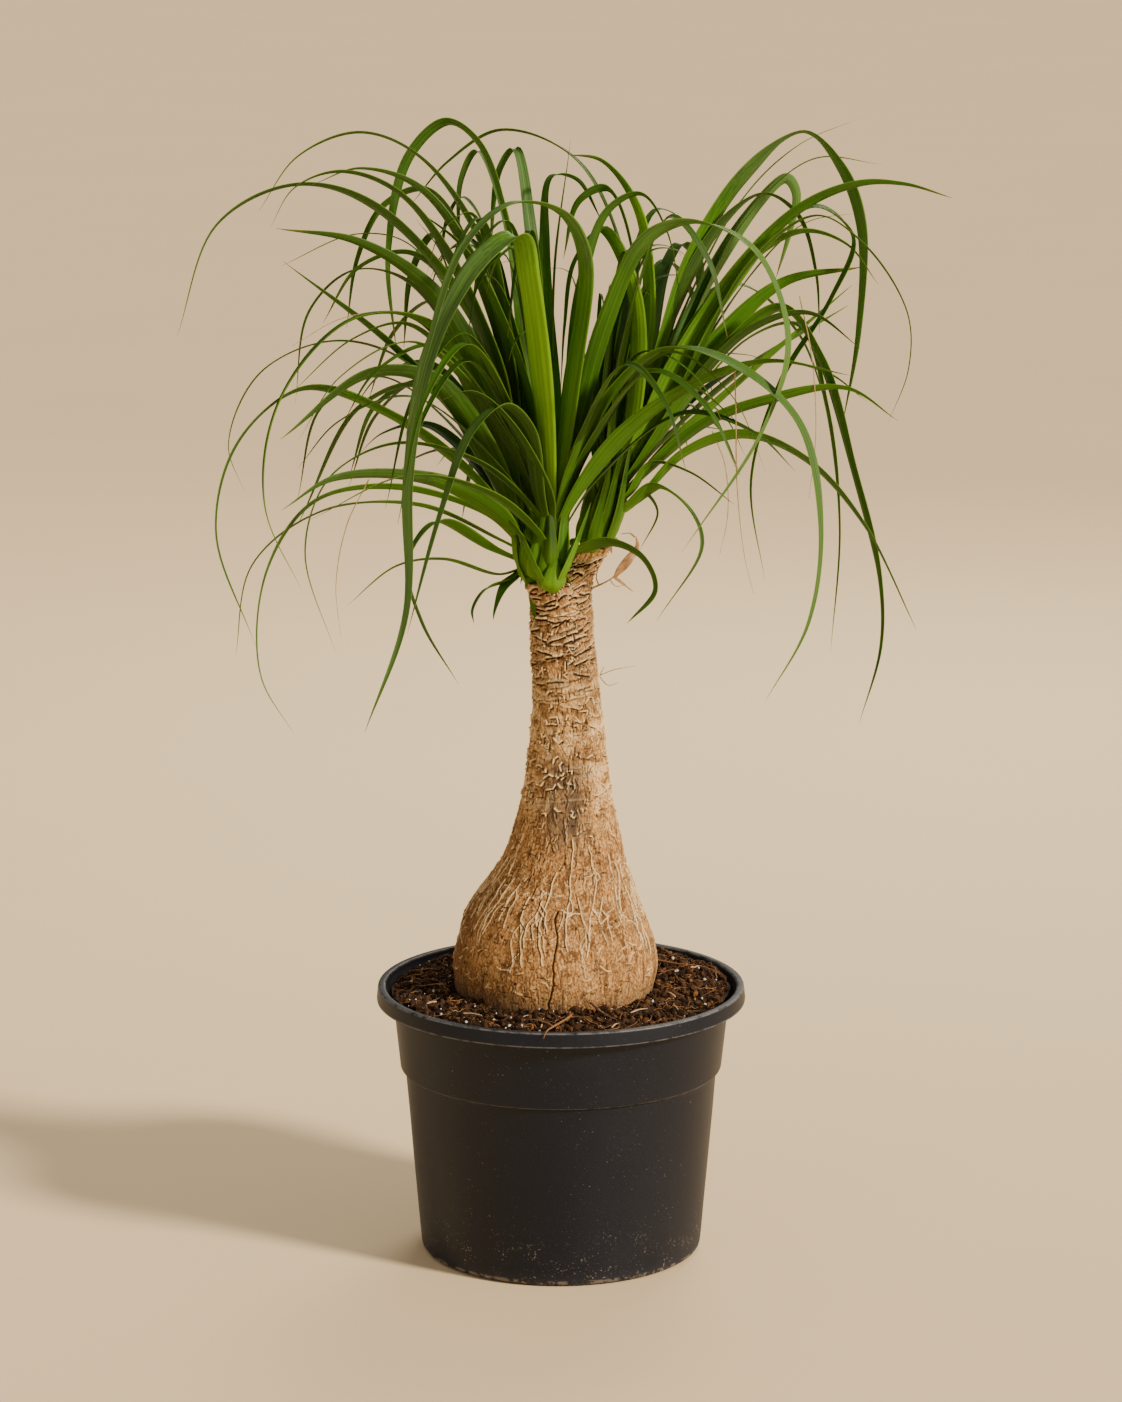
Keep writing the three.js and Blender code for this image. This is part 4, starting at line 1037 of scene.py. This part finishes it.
# crown, how far the tip reaches to the viewer, width, roll in degrees, places passed (across, up)
leafRoutes = {
    "farLeftArch": ("left", 40, 14, 27, [(-45, 595), (-115, 685), (-165, 700), (-215, 675),
        (-240, 605)]),
    "highLeftArch": ("left", 5, 13, 25, [(-40, 635), (-85, 712), (-125, 730), (-165, 715),
        (-190, 680)]),
    "leftArchLow": ("left", 60, 13, 30, [(-45, 600), (-95, 692), (-135, 710), (-165, 700),
        (-180, 675)]),
    "leftArchBroad": ("left", 30, 14, 45, [(-40, 610), (-85, 695), (-125, 710), (-155, 700)]),
    "leftSpear": ("left", 75, 17, 60, [(-45, 565), (-80, 635), (-125, 668), (-175, 678)]),
    "leftWisp": ("left", -40, 9, 15, [(-55, 590), (-95, 655), (-130, 662), (-180, 640)]),
    "leftStiff": ("left", 15, 12, 40, [(-50, 530), (-100, 590), (-175, 650)]),
    "leftHook": ("left", -15, 11, 25, [(-50, 560), (-95, 633), (-130, 642), (-160, 615), (-170, 555)]),
    "leftSweep": ("left", 85, 13, 38, [(-45, 545), (-85, 615), (-130, 618), (-175, 570), (-185, 505),
        (-160, 450)]),
    "leftRibbon": ("left", 50, 12, 20, [(-50, 560), (-95, 613), (-130, 605), (-168, 572)]),
    "leftDark": ("left", 65, 18, 60, [(-45, 525), (-80, 578), (-120, 584), (-175, 545)]),
    "lowArchLong": ("left", 95, 11, 38, [(-50, 508), (-105, 555), (-160, 575), (-200, 545), (-215, 490),
        (-190, 420)]),
    "lowArchThin": ("left", 25, 9, 15, [(-50, 530), (-100, 588), (-145, 600), (-190, 580), (-210, 535),
        (-200, 505)]),
    "lowRibbon": ("left", 110, 15, 55, [(-40, 492), (-80, 518), (-140, 525), (-172, 508)]),
    "lowFall": ("left", 60, 11, 20, [(-40, 472), (-90, 496), (-150, 495), (-195, 462), (-205, 405)]),
    "lowDrop": ("left", 100, 10, 38, [(-48, 490), (-105, 510), (-155, 503), (-185, 460), (-188, 400),
        (-165, 362)]),
    "leftCurl": ("left", -25, 10, 35, [(-50, 525), (-90, 567), (-130, 552), (-170, 475)]),
    "leftThread": ("left", -60, 8, 15, [(-60, 530), (-115, 570), (-155, 548), (-172, 485)]),
    "leftShort": ("left", -35, 10, 32, [(-50, 520), (-85, 568), (-118, 553), (-136, 505)]),
    "skirtLong": ("left", 60, 11, 30, [(-42, 465), (-78, 486), (-97, 462), (-88, 425), (-65, 388)]),
    "skirtLow": ("left", 40, 10, 20, [(-40, 449), (-75, 461), (-105, 458), (-136, 434)]),
    "skirtCurl": ("left", 35, 12, 28, [(-34, 446), (-48, 442), (-56, 430), (-55, 422)]),
    "skirtShort": ("left", 34, 11, 20, [(-26, 450), (-36, 443), (-42, 430), (-43, 424)]),
    "leftUpright": ("left", -20, 12, 30, [(-45, 510), (-62, 590), (-75, 650), (-92, 673)]),
    "backHook": ("left", -60, 13, 30, [(-42, 560), (-68, 640), (-82, 660), (-96, 635), (-101, 585)]),
    "innerHook": ("left", -35, 12, 42, [(-32, 570), (-45, 660), (-63, 686), (-73, 670), (-76, 640)]),
    "frontFold": ("front", 150, 19, 0, [(-10, 560), (-20, 645), (-27, 674), (-50, 660), (-80, 605),
        (-93, 530), (-95, 450), (-120, 380)]),
    "frontFoldTwin": ("front", 105, 14, 0, [(6, 570), (14, 660), (0, 687), (-30, 694), (-60, 668),
        (-82, 605), (-95, 555)]),
    "topArch": ("front", -45, 16, 36, [(-15, 560), (-32, 665), (-52, 722), (-72, 735), (-97, 712),
        (-110, 650), (-105, 588)]),
    "topBack": ("front", -90, 14, 5, [(-10, 560), (-20, 665), (-30, 714), (-40, 700), (-46, 640)]),
    "topBackLeft": ("front", -70, 13, 10, [(-20, 565), (-37, 680), (-53, 714), (-64, 695), (-66, 640)]),
    "topBackRight": ("front", -60, 15, 10, [(-6, 560), (-10, 655), (-6, 698), (10, 696), (26, 668)]),
    "youngSpear": ("front", -5, 10, 10, [(-6, 560), (-4, 650), (6, 725)]),
    "frontDroop": ("front", 95, 12, 15, [(-14, 505), (-22, 550), (-37, 565), (-56, 550), (-75, 500),
        (-95, 430)]),
    "frontLeft": ("front", 60, 9, 15, [(-8, 505), (-32, 555), (-55, 575), (-80, 568)]),
    "leftReach": ("front", 75, 9, 25, [(-18, 495), (-55, 528), (-105, 540), (-145, 520), (-160, 475),
        (-140, 412)]),
    "leftReachLow": ("front", 120, 10, 20, [(-16, 482), (-45, 510), (-95, 527), (-155, 505)]),
    "rightGreatArch": ("front", 90, 14, 15, [(6, 530), (28, 615), (55, 670), (85, 680), (120, 663),
        (140, 610), (125, 555), (75, 480)]),
    "rightFountain": ("front", 125, 14, 5, [(6, 520), (32, 573), (66, 602), (105, 595), (147, 560),
        (160, 500), (152, 440), (125, 393)]),
    "rightBroad": ("front", 70, 14, 45, [(10, 505), (45, 550), (90, 582), (130, 595), (178, 588)]),
    "rightSmall": ("front", 45, 11, 20, [(14, 535), (32, 575), (57, 586), (85, 575), (122, 543)]),
    "lowRightCurl": ("front", 25, 11, 60, [(10, 466), (32, 472), (52, 463), (60, 443), (42, 422)]),
    "centreLeft": ("front", 20, 11, 30, [(-14, 540), (-32, 605), (-60, 660), (-95, 688)]),
    "crossTop": ("right", -60, 13, 20, [(46, 555), (38, 655), (8, 710), (-38, 726), (-72, 705),
        (-95, 678)]),
    "crossShort": ("right", -15, 17, 72, [(50, 560), (56, 630), (48, 680), (26, 709), (4, 713)]),
    "crossBroad": ("right", -35, 15, 55, [(45, 560), (48, 640), (30, 690), (12, 682), (2, 645)]),
    "crossFront": ("right", 30, 13, 18, [(46, 550), (46, 630), (25, 670), (8, 650), (2, 610),
        (0, 570)]),
    "greatRight": ("right", -15, 19, 55, [(50, 545), (80, 642), (115, 700), (153, 729), (177, 706),
        (191, 668), (190, 600), (180, 540)]),
    "rightLoop": ("right", 20, 14, 40, [(56, 545), (115, 645), (160, 684), (184, 665), (170, 625),
        (140, 575), (121, 510), (130, 445)]),
    "rightThread": ("right", -45, 9, 15, [(62, 560), (115, 668), (160, 708), (205, 704)]),
    "rightSpearTop": ("right", -30, 9, 15, [(55, 560), (110, 678), (150, 718), (190, 735)]),
    "rightFold": ("right", -55, 18, 75, [(55, 550), (95, 635), (128, 682), (144, 695), (150, 686),
        (147, 664), (138, 630)]),
    "rightFar": ("right", 25, 17, 55, [(52, 540), (95, 618), (145, 680), (185, 699), (215, 699),
        (245, 690)]),
    "rightRim": ("right", 45, 10, 15, [(62, 540), (118, 648), (160, 680), (190, 662), (217, 620),
        (218, 585), (205, 550)]),
    "rightStraight": ("right", 5, 20, 68, [(48, 525), (95, 592), (140, 635), (190, 645)]),
    "rightWisp": ("right", -35, 9, 15, [(65, 548), (120, 635), (155, 668), (188, 674)]),
    "rightLongDrop": ("right", 35, 14, 40, [(55, 525), (102, 592), (140, 620), (163, 590), (185, 520),
        (203, 450), (204, 405), (190, 355)]),
    "rightTip": ("right", -20, 13, 45, [(60, 520), (115, 570), (185, 630)]),
    "rightTipLow": ("right", -50, 12, 45, [(55, 520), (115, 573), (185, 613)]),
    "rightPaleDrop": ("right", -30, 9, 15, [(62, 532), (120, 598), (152, 605), (170, 555), (180, 475),
        (175, 390)]),
    "rightLevel": ("right", 30, 14, 45, [(50, 510), (88, 545), (130, 562), (180, 570), (212, 550)]),
    "rightLowSweep": ("right", 50, 12, 40, [(48, 495), (78, 527), (115, 540), (155, 525), (192, 485),
        (225, 420)]),
    "lowHook": ("right", 30, 12, 32, [(43, 492), (62, 505), (82, 492), (90, 468), (60, 420)]),
    "lowTwist": ("right", 10, 9, 30, [(40, 488), (53, 500), (62, 488), (50, 463)]),
    "rightStub": ("right", 20, 10, 28, [(44, 500), (58, 520), (82, 515), (110, 495)]),
    "rightInnerArch": ("right", -10, 15, 45, [(48, 545), (74, 622), (103, 672), (128, 690), (150, 676),
        (162, 640), (165, 600)]),
    "rightDarkFold": ("right", -110, 18, 15, [(46, 540), (58, 598), (68, 636), (78, 650), (88, 642),
        (92, 612), (92, 580)]),
    "rightMidArch": ("right", 15, 14, 42, [(50, 540), (84, 606), (120, 650), (152, 668), (180, 660),
        (200, 635)]),
    "rightUnder": ("right", 30, 12, 45, [(50, 520), (84, 572), (120, 608), (156, 618), (188, 596)]),
    "centreRightArch": ("front", 25, 12, 30, [(4, 560), (14, 640), (30, 684), (50, 694), (66, 672),
        (76, 620)]),
    "leftInnerArch": ("left", 10, 13, 40, [(-38, 560), (-62, 625), (-95, 655), (-128, 645),
        (-150, 610)]),
    "leftDeepArch": ("left", -45, 12, 35, [(-36, 580), (-58, 655), (-85, 690), (-112, 680), (-130, 645),
        (-138, 600)]),
}
# leaves that turn edge-on where they fold over, and hang less broad beyond the fold
foldedLeaves = ["greatRight", "rightLoop", "rightInnerArch", "leftSweep", "innerHook", "leftHook"]
# the rest by rule: crown, count, facing in degrees, reach, bend and tip heights, width, seed
leafFill = [
    ("left", 7, (86, 150), (150, 215), (110, 190), (30, 110), (9, 13), 101),
    ("left", 5, (95, 165), (90, 150), (60, 110), (10, 60), (9, 12), 102),
    ("left", 6, (120, 235), (40, 90), (180, 245), (130, 190), (7, 10), 103),
    ("front", 6, (194, 238), (120, 185), (120, 185), (40, 110), (7, 10), 104),
    ("front", 5, (300, 344), (100, 165), (110, 165), (60, 110), (7, 10), 105),
    ("front", 6, (200, 280), (30, 80), (170, 240), (130, 190), (7, 10), 106),
    ("right", 8, (30, 96), (150, 215), (100, 180), (20, 100), (9, 13), 107),
    ("right", 5, (10, 85), (90, 150), (50, 100), (10, 50), (10, 14), 108),
    ("right", 6, (-60, 60), (40, 95), (165, 225), (120, 180), (9, 13), 109),
    ("right", 6, (-70, -30), (110, 180), (90, 150), (45, 95), (9, 12), 110),
    ("front", 7, (170, 330), (25, 60), (150, 215), (140, 205), (6, 9), 111),
    ("right", 6, (180, 330), (20, 50), (150, 200), (140, 190), (6, 9), 112),
]
# tone at the root, tone at the tip, greyness of the tip half, and where along the leaf the change lies;
# the tones are partly each leaf's own green and partly painted light and shade, and the greyness is
# partly painted sheen
leafLooks = {
    "frontFold": (1.0, 0.35, 1.0, 0.40), "frontFoldTwin": (0.6, 0.25, 0.85, 0.45),
    "frontDroop": (0.2, 0.3, 0.9, 0.42), "rightGreatArch": (0.45, 0.3, 0.8, 0.42),
    "rightFountain": (0.5, 0.35, 0.5, 0.4), "crossShort": (1.0, 0.6, 0.1, 0.8),
    "crossFront": (0.9, 0.5, 0.1, 0.6), "rightFold": (0.25, 0.3, 0.9, 0.25),
    "greatRight": (0.66, 0.28, 0.6, 0.45), "rightFar": (0.75, 0.45, 0.0, 0.6),
    "rightStraight": (0.7, 0.5, 0.0, 0.8), "topBack": (0.6, 0.4, 0.2, 0.5),
    "centreLeft": (0.7, 0.4, 0.0, 0.7), "topBackRight": (0.7, 0.35, 0.2, 0.6),
    "leftSweep": (0.6, 0.5, 0.0, 0.8), "topArch": (0.7, 0.4, 0.2, 0.5),
    "leftUpright": (0.75, 0.4, 0.0, 0.7), "rightBroad": (0.6, 0.5, 0.0, 0.8),
    "crossBroad": (0.95, 0.45, 0.2, 0.6), "rightDarkFold": (0.1, 0.2, 0.6, 0.3),
    "rightTip": (0.7, 0.6, 0.0, 0.8), "rightMidArch": (0.6, 0.5, 0.0, 0.7),
    "rightLevel": (0.55, 0.6, 0.0, 0.6),
}


def leafRoot(crown, toward):
    x, y, z = crownBase[crown]
    across = math.hypot(toward[0] - x, toward[1] - y)
    steep = min(1, max(0, (math.degrees(math.atan2(toward[2] - z, across)) - 20) / 65))
    out = leafSizes["seatRadius"] * (1 - steep) / max(across, 1)
    lean = {"left": -0.15, "front": 0, "right": 0.15}[crown]
    rise = leafSizes["seatHeight"] * steep
    return (x + (toward[0] - x) * out + lean * rise, y + (toward[1] - y) * out, z + rise)


def routedLeaf(name):
    crown, toward, width, roll, places = leafRoutes[name]
    x, y, z = crownBase[crown]
    flat = [(x, z)] + places
    run = [0.0]
    for (a, b), (c, d) in zip(flat, flat[1:]):
        run.append(run[-1] + math.hypot(c - a, d - b))
    points = [(across, y - toward * run[i + 1] / run[-1], up) for i, (across, up) in enumerate(places)]
    points = np.array([leafRoot(crown, points[0])] + points, float)
    return {"name": name, "crown": crown, "width": width, "roll": roll, "points": points}


def filledLeaves(crown, count, facing, reach, bend, tip, width, seed):
    draw = seededRandom(seed)
    x, y, z = crownBase[crown]
    made = []
    for i in range(count):
        share = (i + 0.2 + 0.6 * draw()) / count
        angle = math.radians(facing[0] + (facing[1] - facing[0]) * share)
        out = between(draw, reach)
        top = between(draw, bend)
        end = min(between(draw, tip), top - 5)
        sway = 14 * (draw() - 0.5)
        droop = 0.62 * top + 0.38 * end
        places = [(0.2, 0.58 * top, 0), (0.55, 0.97 * top, 0.2), (0.84, droop, 0.6), (1, end, 1)]
        points = [(x + out * s * math.cos(angle) - sway * aside * math.sin(angle),
                   y + out * s * math.sin(angle) + sway * aside * math.cos(angle), z + height)
                  for s, height, aside in places]
        points.insert(0, leafRoot(crown, points[0]))
        roll = 50 * (draw() - 0.5)
        made.append({"name": "fill", "crown": crown, "width": between(draw, width), "roll": roll,
                     "points": np.array(points)})
    return made


def nearest(leafA, leafB):
    a, b = curveThrough(leafA["points"], 6), curveThrough(leafB["points"], 6)
    least = np.min(np.linalg.norm(a[:, None, :] - b[None, :, :], axis=-1))
    return least - (leafA["width"] + leafB["width"]) * leafSizes["bladeShare"]


def gatherLeaves():
    routed = [routedLeaf(name) for name in leafRoutes]
    leaves = list(routed)
    for rule in leafFill:
        others = [leaf for leaf in routed if (leaf["crown"] == "right") != (rule[0] == "right")]
        for leaf in filledLeaves(*rule):
            if all(nearest(leaf, other) > leafSizes["clearance"] for other in others):
                leaves.append(leaf)
    return leaves


def bladeFrames(leaf, steps):
    points = leaf["points"]
    spans = len(points) - 1
    stops = np.linspace(0, spans, spans * steps + 1)
    places = curveThrough(points, steps)
    ahead = curveThrough(points, 0, np.clip(stops + 0.05, 0, spans))
    behind = curveThrough(points, 0, np.clip(stops - 0.05, 0, spans))
    along = unit(ahead - behind)
    level = np.array([points[0][1] - points[-1][1], points[-1][0] - points[0][0], 0.0])
    level = level / np.linalg.norm(level)
    across = unit(level - along * (along @ level)[:, None])
    up = -np.cross(across, along)
    run = np.concatenate([[0], np.cumsum(np.linalg.norm(np.diff(places, axis=0), axis=1))])
    share = run / run[-1]
    facing = -1 if level[1] > 0 else 1
    rolled = np.minimum(1, leafSizes["rootRoll"] + leafSizes["rollGain"] * share)
    turn = facing * math.radians(leaf["roll"]) * rolled
    if leaf.get("name") in foldedLeaves:
        foldAt = share[np.argmax(places[:, 2])]
        edgeOn = leafSizes["foldTurn"] * np.exp(-((share - foldAt) / leafSizes["foldSpan"]) ** 2)
        hanging = leafSizes["foldHang"] * smoothstep(foldAt, foldAt + leafSizes["foldReach"], share)
        turn = turn * (1 - edgeOn - hanging)
    return places, across, up, share, turn, run[-1]


def addBlade(mould, leaf, rng):
    sizes = leafSizes
    places, across, up, share, turn, length = bladeFrames(leaf, sizes["stepsPerSpan"])
    phase = rng.random() * 6.28  # a wave of its own for each leaf
    turn = turn + 0.10 * np.sin(share * 7 + phase) * smoothstep(0.05, 0.4, share)
    side = across * np.cos(turn)[:, None] + up * np.sin(turn)[:, None]
    face = up * np.cos(turn)[:, None] - across * np.sin(turn)[:, None]
    neck = leaf.get("neck", sizes["neck"])
    taper = np.minimum(1, sizes["taperStart"] * np.maximum(0, 1 - share) ** sizes["taperPower"])
    width = leaf["width"] * (neck + (1 - neck) * smoothstep(0, sizes["neckReach"], share)) * taper
    width = np.maximum(sizes["minWidth"] * (1.4 - share), width)
    if "cup" in leaf:  # a clasping base starts round
        width = width * np.clip(share / leaf["cup"], 0.05, 1) ** 0.5
    t = np.linspace(-1, 1, sizes["columns"])[None, :]
    keel = width * leaf.get("keel", sizes["keel"]) * (1 + 0.8 * (1 - smoothstep(0, 0.2, share)))
    dish = -keel[:, None] * (1 - np.abs(t) ** leaf.get("fold", 1.1))
    pleat = 0.012 * width[:, None] * np.cos(t * math.pi * 4)
    flutter = 0.035 * width * np.sin(share * length / 14 + phase * 2) * smoothstep(0.1, 0.4, share)
    height = dish + pleat + flutter[:, None] * np.sign(t) * t**2
    wander = 0.7 * np.sin(share * length / 47 + phase)[:, None] * side
    middle = places + wander * smoothstep(0.05, 0.3, share)[:, None]
    top = middle[:, None, :] + side[:, None, :] * (t * width[:, None] / 2)[:, :, None]
    top = top + face[:, None, :] * height[:, :, None]
    thick = sizes["edgeThickness"] + (sizes["thickness"] - sizes["edgeThickness"]) * (1 - t**2)
    thick = thick * np.minimum(1, width / 4)[:, None]
    low = top - face[:, None, :] * thick[:, :, None]
    loop = np.clip(np.concatenate([top, low[:, ::-1]], axis=1), *leafLimits)
    rows, ring = loop.shape[:2]
    faces = gridFaces(rows, ring, True).tolist()
    faces += [list(range(ring)), [(rows - 1) * ring + i for i in range(ring)][::-1]]
    acrossValue = np.concatenate([t[0], t[0][::-1]])
    under = np.concatenate([np.zeros(sizes["columns"]), np.ones(sizes["columns"])])
    rootTone, tipTone, grey, change = leaf["look"]
    turned = smoothstep(change - 0.06, change + 0.06, share)
    tone = np.repeat(rootTone + (tipTone - rootTone) * turned, ring)
    mould.add(loop, [face[::-1] for face in faces], along=np.repeat(share, ring),
              across=np.tile(acrossValue, rows), under=np.tile(under, rows), tone=tone,
              grey=np.repeat(grey * turned, ring), dry=leaf.get("dry", 0.0),
              reach=np.repeat(share * length, ring))


def addBase(mould, rng, points, width, look, **shape):  # a short blade that clasps the stem
    leaf = {"points": np.array(points, float), "width": width, "roll": 0.0, "look": look, "neck": 1.0}
    addBlade(mould, {**leaf, **shape}, rng)


def addSheaths(mould, crown, rng):
    # clasping leaf bases wrap the stem one over the other, and a few small bracts stand at the foot
    core = np.array(crownCore[crown], float)
    lean = core[3, :3] - core[0, :3]
    for i in range(crownFoot["sheaths"]):
        rise = i / crownFoot["sheaths"]
        angle = i * math.radians(137.5) + crownFoot["firstSheath"][crown] + 0.3 * rng.random()
        foot = core[0, :3] + lean * 0.34 * rise
        radius = core[0, 3] * (1 - 0.45 * rise)
        out = np.array([math.cos(angle), math.sin(angle), 0])
        top = (0.55 + 0.65 * rng.random()) * lean
        flare = 2 + 9 * rng.random() ** 2
        points = [foot + out * radius * 0.7 - lean * 0.07, foot + out * (radius + 1.2) + top * 0.22,
                  foot + out * (radius + 0.6) + top * 0.6, foot + out * (radius * 0.85 + flare) + top]
        width = 15 - 6 * rise + 2 * rng.random()
        look = (0.45 + 0.45 * rng.random(), 0.25 + 0.3 * rng.random(), 0.0, 0.6)
        addBase(mould, rng, points, width, look, keel=0.24, fold=2.0, cup=0.15)
    for i in range(crownFoot["bracts"]):
        angle = i * math.radians(97) + 0.5 * rng.random()
        out = np.array([math.cos(angle), math.sin(angle), 0])
        foot, radius, reach = core[0, :3], core[0, 3], 3 + 6 * rng.random()
        points = [foot + out * (radius * share + away) + (0, 0, up) for share, away, up in (
            (0.7, 0, 4), (1, 1.2, 5), (1, 0.6 * reach, 3), (1, reach, -3))]
        width = 5 + 3 * rng.random()
        addBase(mould, rng, points, width, (0.35, 0.2, 0.0, 0.5), dry=0.9 if i % 2 else 0.0)


def addClasps(mould, rng):
    # broad bases in front of the stem cross in a V, and a darker one stands inside it
    for width, look, places in crownFoot["clasps"]:
        addBase(mould, rng, places, width, look, keel=0.3, fold=2.0, cup=0.32)
    # one short green leaf lies down against the trunk at the left
    addBase(mould, rng, crownFoot["trunkBract"], 9, (0.75, 0.35, 0.0, 0.4), keel=0.2, fold=2.0)


def leafPaint():
    paint = Paint("livingLeaf")
    along, across, under, tone, grey, dry, reach = (
        paint.value(name) for name in ("along", "across", "under", "tone", "grey", "dry", "reach"))
    colours = leafColours
    blotch = paint.noise(30, 3.0)
    green = paint.ramp(tone + blotch * 0.3 - 0.15, colours["greens"])
    # pale and dark lines run the length of the blade, never quite even
    lane = paint.node("ShaderNodeCombineXYZ", {}, {0: across * 5, 1: reach * 0.012, 2: tone * 17})
    streak = paint.noise(1.0, 2.5, lane)
    stripes = ((across * 17).maths("SINE") * 0.5 + 0.5) * 0.45 + streak.above(0.36, 0.64) * 0.55
    tint = paint.layers(green, [
        # grey-green over the hanging half: partly the blade's own blue-green, partly painted sheen
        (grey * 0.8, colours["glaucousAndSheen"]),
        (stripes * (0.18 + grey * 0.3), colours["paleLine"]),
        ((1 - stripes) * 0.45, colours["darkLine"]),
        ((1 - abs(across).above(0.0, 0.10)) * 0.25, colours["rib"]),
        ((1 - reach.above(6, 34)) * 0.45, colours["base"]),
        # painted highlight: the thin edges of every blade are painted paler, as if catching the light
        (abs(across).above(0.90, 1.0) * 0.55, colours["edge"]),
        ((along + blotch * 0.08).above(0.95, 1.05) * 0.7, colours["tip"]),
        (dry, colours["withered"]),
        (under * 0.25, colours["under"]),
    ])
    height = stripes * 0.5 + paint.noise(420, 2.0) * 0.2
    return paint.finish({
        "Base Color": tint,
        "Roughness": 0.44 + under * 0.12 + blotch * 0.12,
        "Normal": paint.bump(height, 0.5, 0.0004),
        "Specular IOR Level": 0.3}, over=(colours["throughShare"], colours["through"]))


def makeCrowns():
    rng = np.random.default_rng(leafSizes["seed"])
    leaves = gatherLeaves()
    paint = leafPaint()
    moulds = {"leaf_crown_left": Mould(), "leaf_crown_right": Mould()}
    for leaf in leaves:
        node = "leaf_crown_right" if leaf["crown"] == "right" else "leaf_crown_left"
        # tones are partly each leaf's own green and partly painted light and shade: the rising half is
        # painted brighter, as if lit through, than the outer half
        rootTone, tipTone, grey = rng.random(3)
        chance = (0.28 + 0.42 * rootTone, 0.08 + 0.36 * tipTone, 0.5 * grey ** 2, 0.45)
        if leaf["name"] == "fill":  # those deep in the crown are painted darker as shade, and no two alike
            chance = (0.02 + 0.46 * rootTone ** 1.6, 0.08 + 0.4 * tipTone, 0.2 * grey ** 2, 0.45)
        leaf["look"] = leafLooks.get(leaf["name"], chance)
        addBlade(moulds[node], leaf, rng)
    left, right = moulds["leaf_crown_left"], moulds["leaf_crown_right"]
    addSheaths(left, "left", rng)
    addSheaths(left, "front", rng)
    addSheaths(right, "right", rng)
    addClasps(left, rng)
    left.piece("leftCrownLeaves", paint, "leaf_green", "leaf_crown_left")
    right.piece("rightCrownLeaves", paint, "leaf_green", "leaf_crown_right")
    print("leaves:", len(leaves))


makeCrowns()
print("stage: crowns")

dryLeaf = {
    "seed": 3,
    "colours": [(0.3, (0.20, 0.09, 0.035)), (0.55, (0.46, 0.26, 0.12)), (0.75, (0.66, 0.46, 0.27))],
    "strips": [  # width, roll in degrees, places
        (8, 62, [(34, -4.5, 446), (38, -5.5, 452), (43, -6, 459), (48, -6.5, 467), (47, -7, 473.5)]),
        (4, -20, [(33, -4, 447), (38, -6, 443.5), (46, -7, 437)]),
    ],
    "threads": [  # places, radius
        ([(20, -2, 439), (28, -4, 443), (35, -4.8, 447.5)], 0.7),
        ([(47, -7, 473), (44, -7.5, 475.5), (38, -7, 475)], 0.6),
        ([(24, -3, 441.5), (22.5, -7, 447), (24, -8, 454)], 0.5),
        ([(31, -4, 445), (35, -6, 441), (41, -7, 442)], 0.35),
    ],
}
hairs = {
    "seed": 12,
    "colour": (0.34, 0.24, 0.09), "shade": (0.5, 0.36, 0.18), "radius": 0.35, "tipRadius": 0.42,
    "onTrunk": [
        [(25, -2, 382), (34, -4, 386), (48, -6, 389)],
        [(25, -2, 381), (30, -4, 376), (37, -6, 378)],
        [(25, -2, 382), (28, -3, 389)],
    ],
    # thread-like dead tips that hang in the crowns
    "deadTips": {
        "leaf_crown_left": [
            [(108, -56, 587), (109, -57, 560), (110, -58, 515), (115, -60, 470), (121, -61, 446)],
            [(-62, -24, 606), (-98, -30, 620), (-136, -34, 617), (-168, -38, 600)],
            [(-120, -60, 519), (-134, -62, 490), (-141, -64, 452), (-138, -66, 420)],
        ],
        "leaf_crown_right": [
            [(150, -14, 628), (158, -16, 590), (161, -18, 540), (157, -20, 500)],
            [(96, -6, 541), (104, -9, 520), (106, -11, 488), (101, -12, 462)],
        ],
    },
}


def makeDryLeaf():
    rng = np.random.default_rng(dryLeaf["seed"])
    mould = Mould()
    for width, roll, places in dryLeaf["strips"]:
        leaf = {"points": np.array(places, float), "width": width, "roll": roll}
        addBlade(mould, {**leaf, "look": (0.2, 0.2, 0, 0.5), "dry": 1.0}, rng)
    paint = Paint("witheredLeaf")
    crumple = paint.noise(160, 5.0, None, 0.8)
    dryPaint = paint.finish({
        "Base Color": paint.ramp(crumple, dryLeaf["colours"]),
        "Roughness": 0.85,
        "Normal": paint.bump(crumple, 0.7, 0.001)})
    mould.piece("witheredStrips", dryPaint, "dry_leaf", "dry_leaf")
    threads = Mould()
    for route, radius in dryLeaf["threads"]:
        threadMesh(threads, rng, route, radius, 0.6, 6)
    threads.piece("witheredThreads", dryPaint, "dry_leaf", "dry_leaf")


def makeHairs():
    rng = np.random.default_rng(hairs["seed"])
    mould = Mould()
    for route in hairs["onTrunk"]:
        threadMesh(mould, rng, route, hairs["radius"], 0.8)
    paint = plainPaint("dryHair", hairs["colour"], hairs["shade"], 0.8, 300)
    mould.piece("trunkHairs", paint, "dry_leaf", "trunk")
    for node, routes in hairs["deadTips"].items():
        tips = Mould()
        for route in routes:
            threadMesh(tips, rng, route, hairs["tipRadius"], 0.8)
        tips.piece("deadTips_" + node, paint, "dry_leaf", node)


makeDryLeaf()
makeHairs()
print("stage: withered strips and hairs")
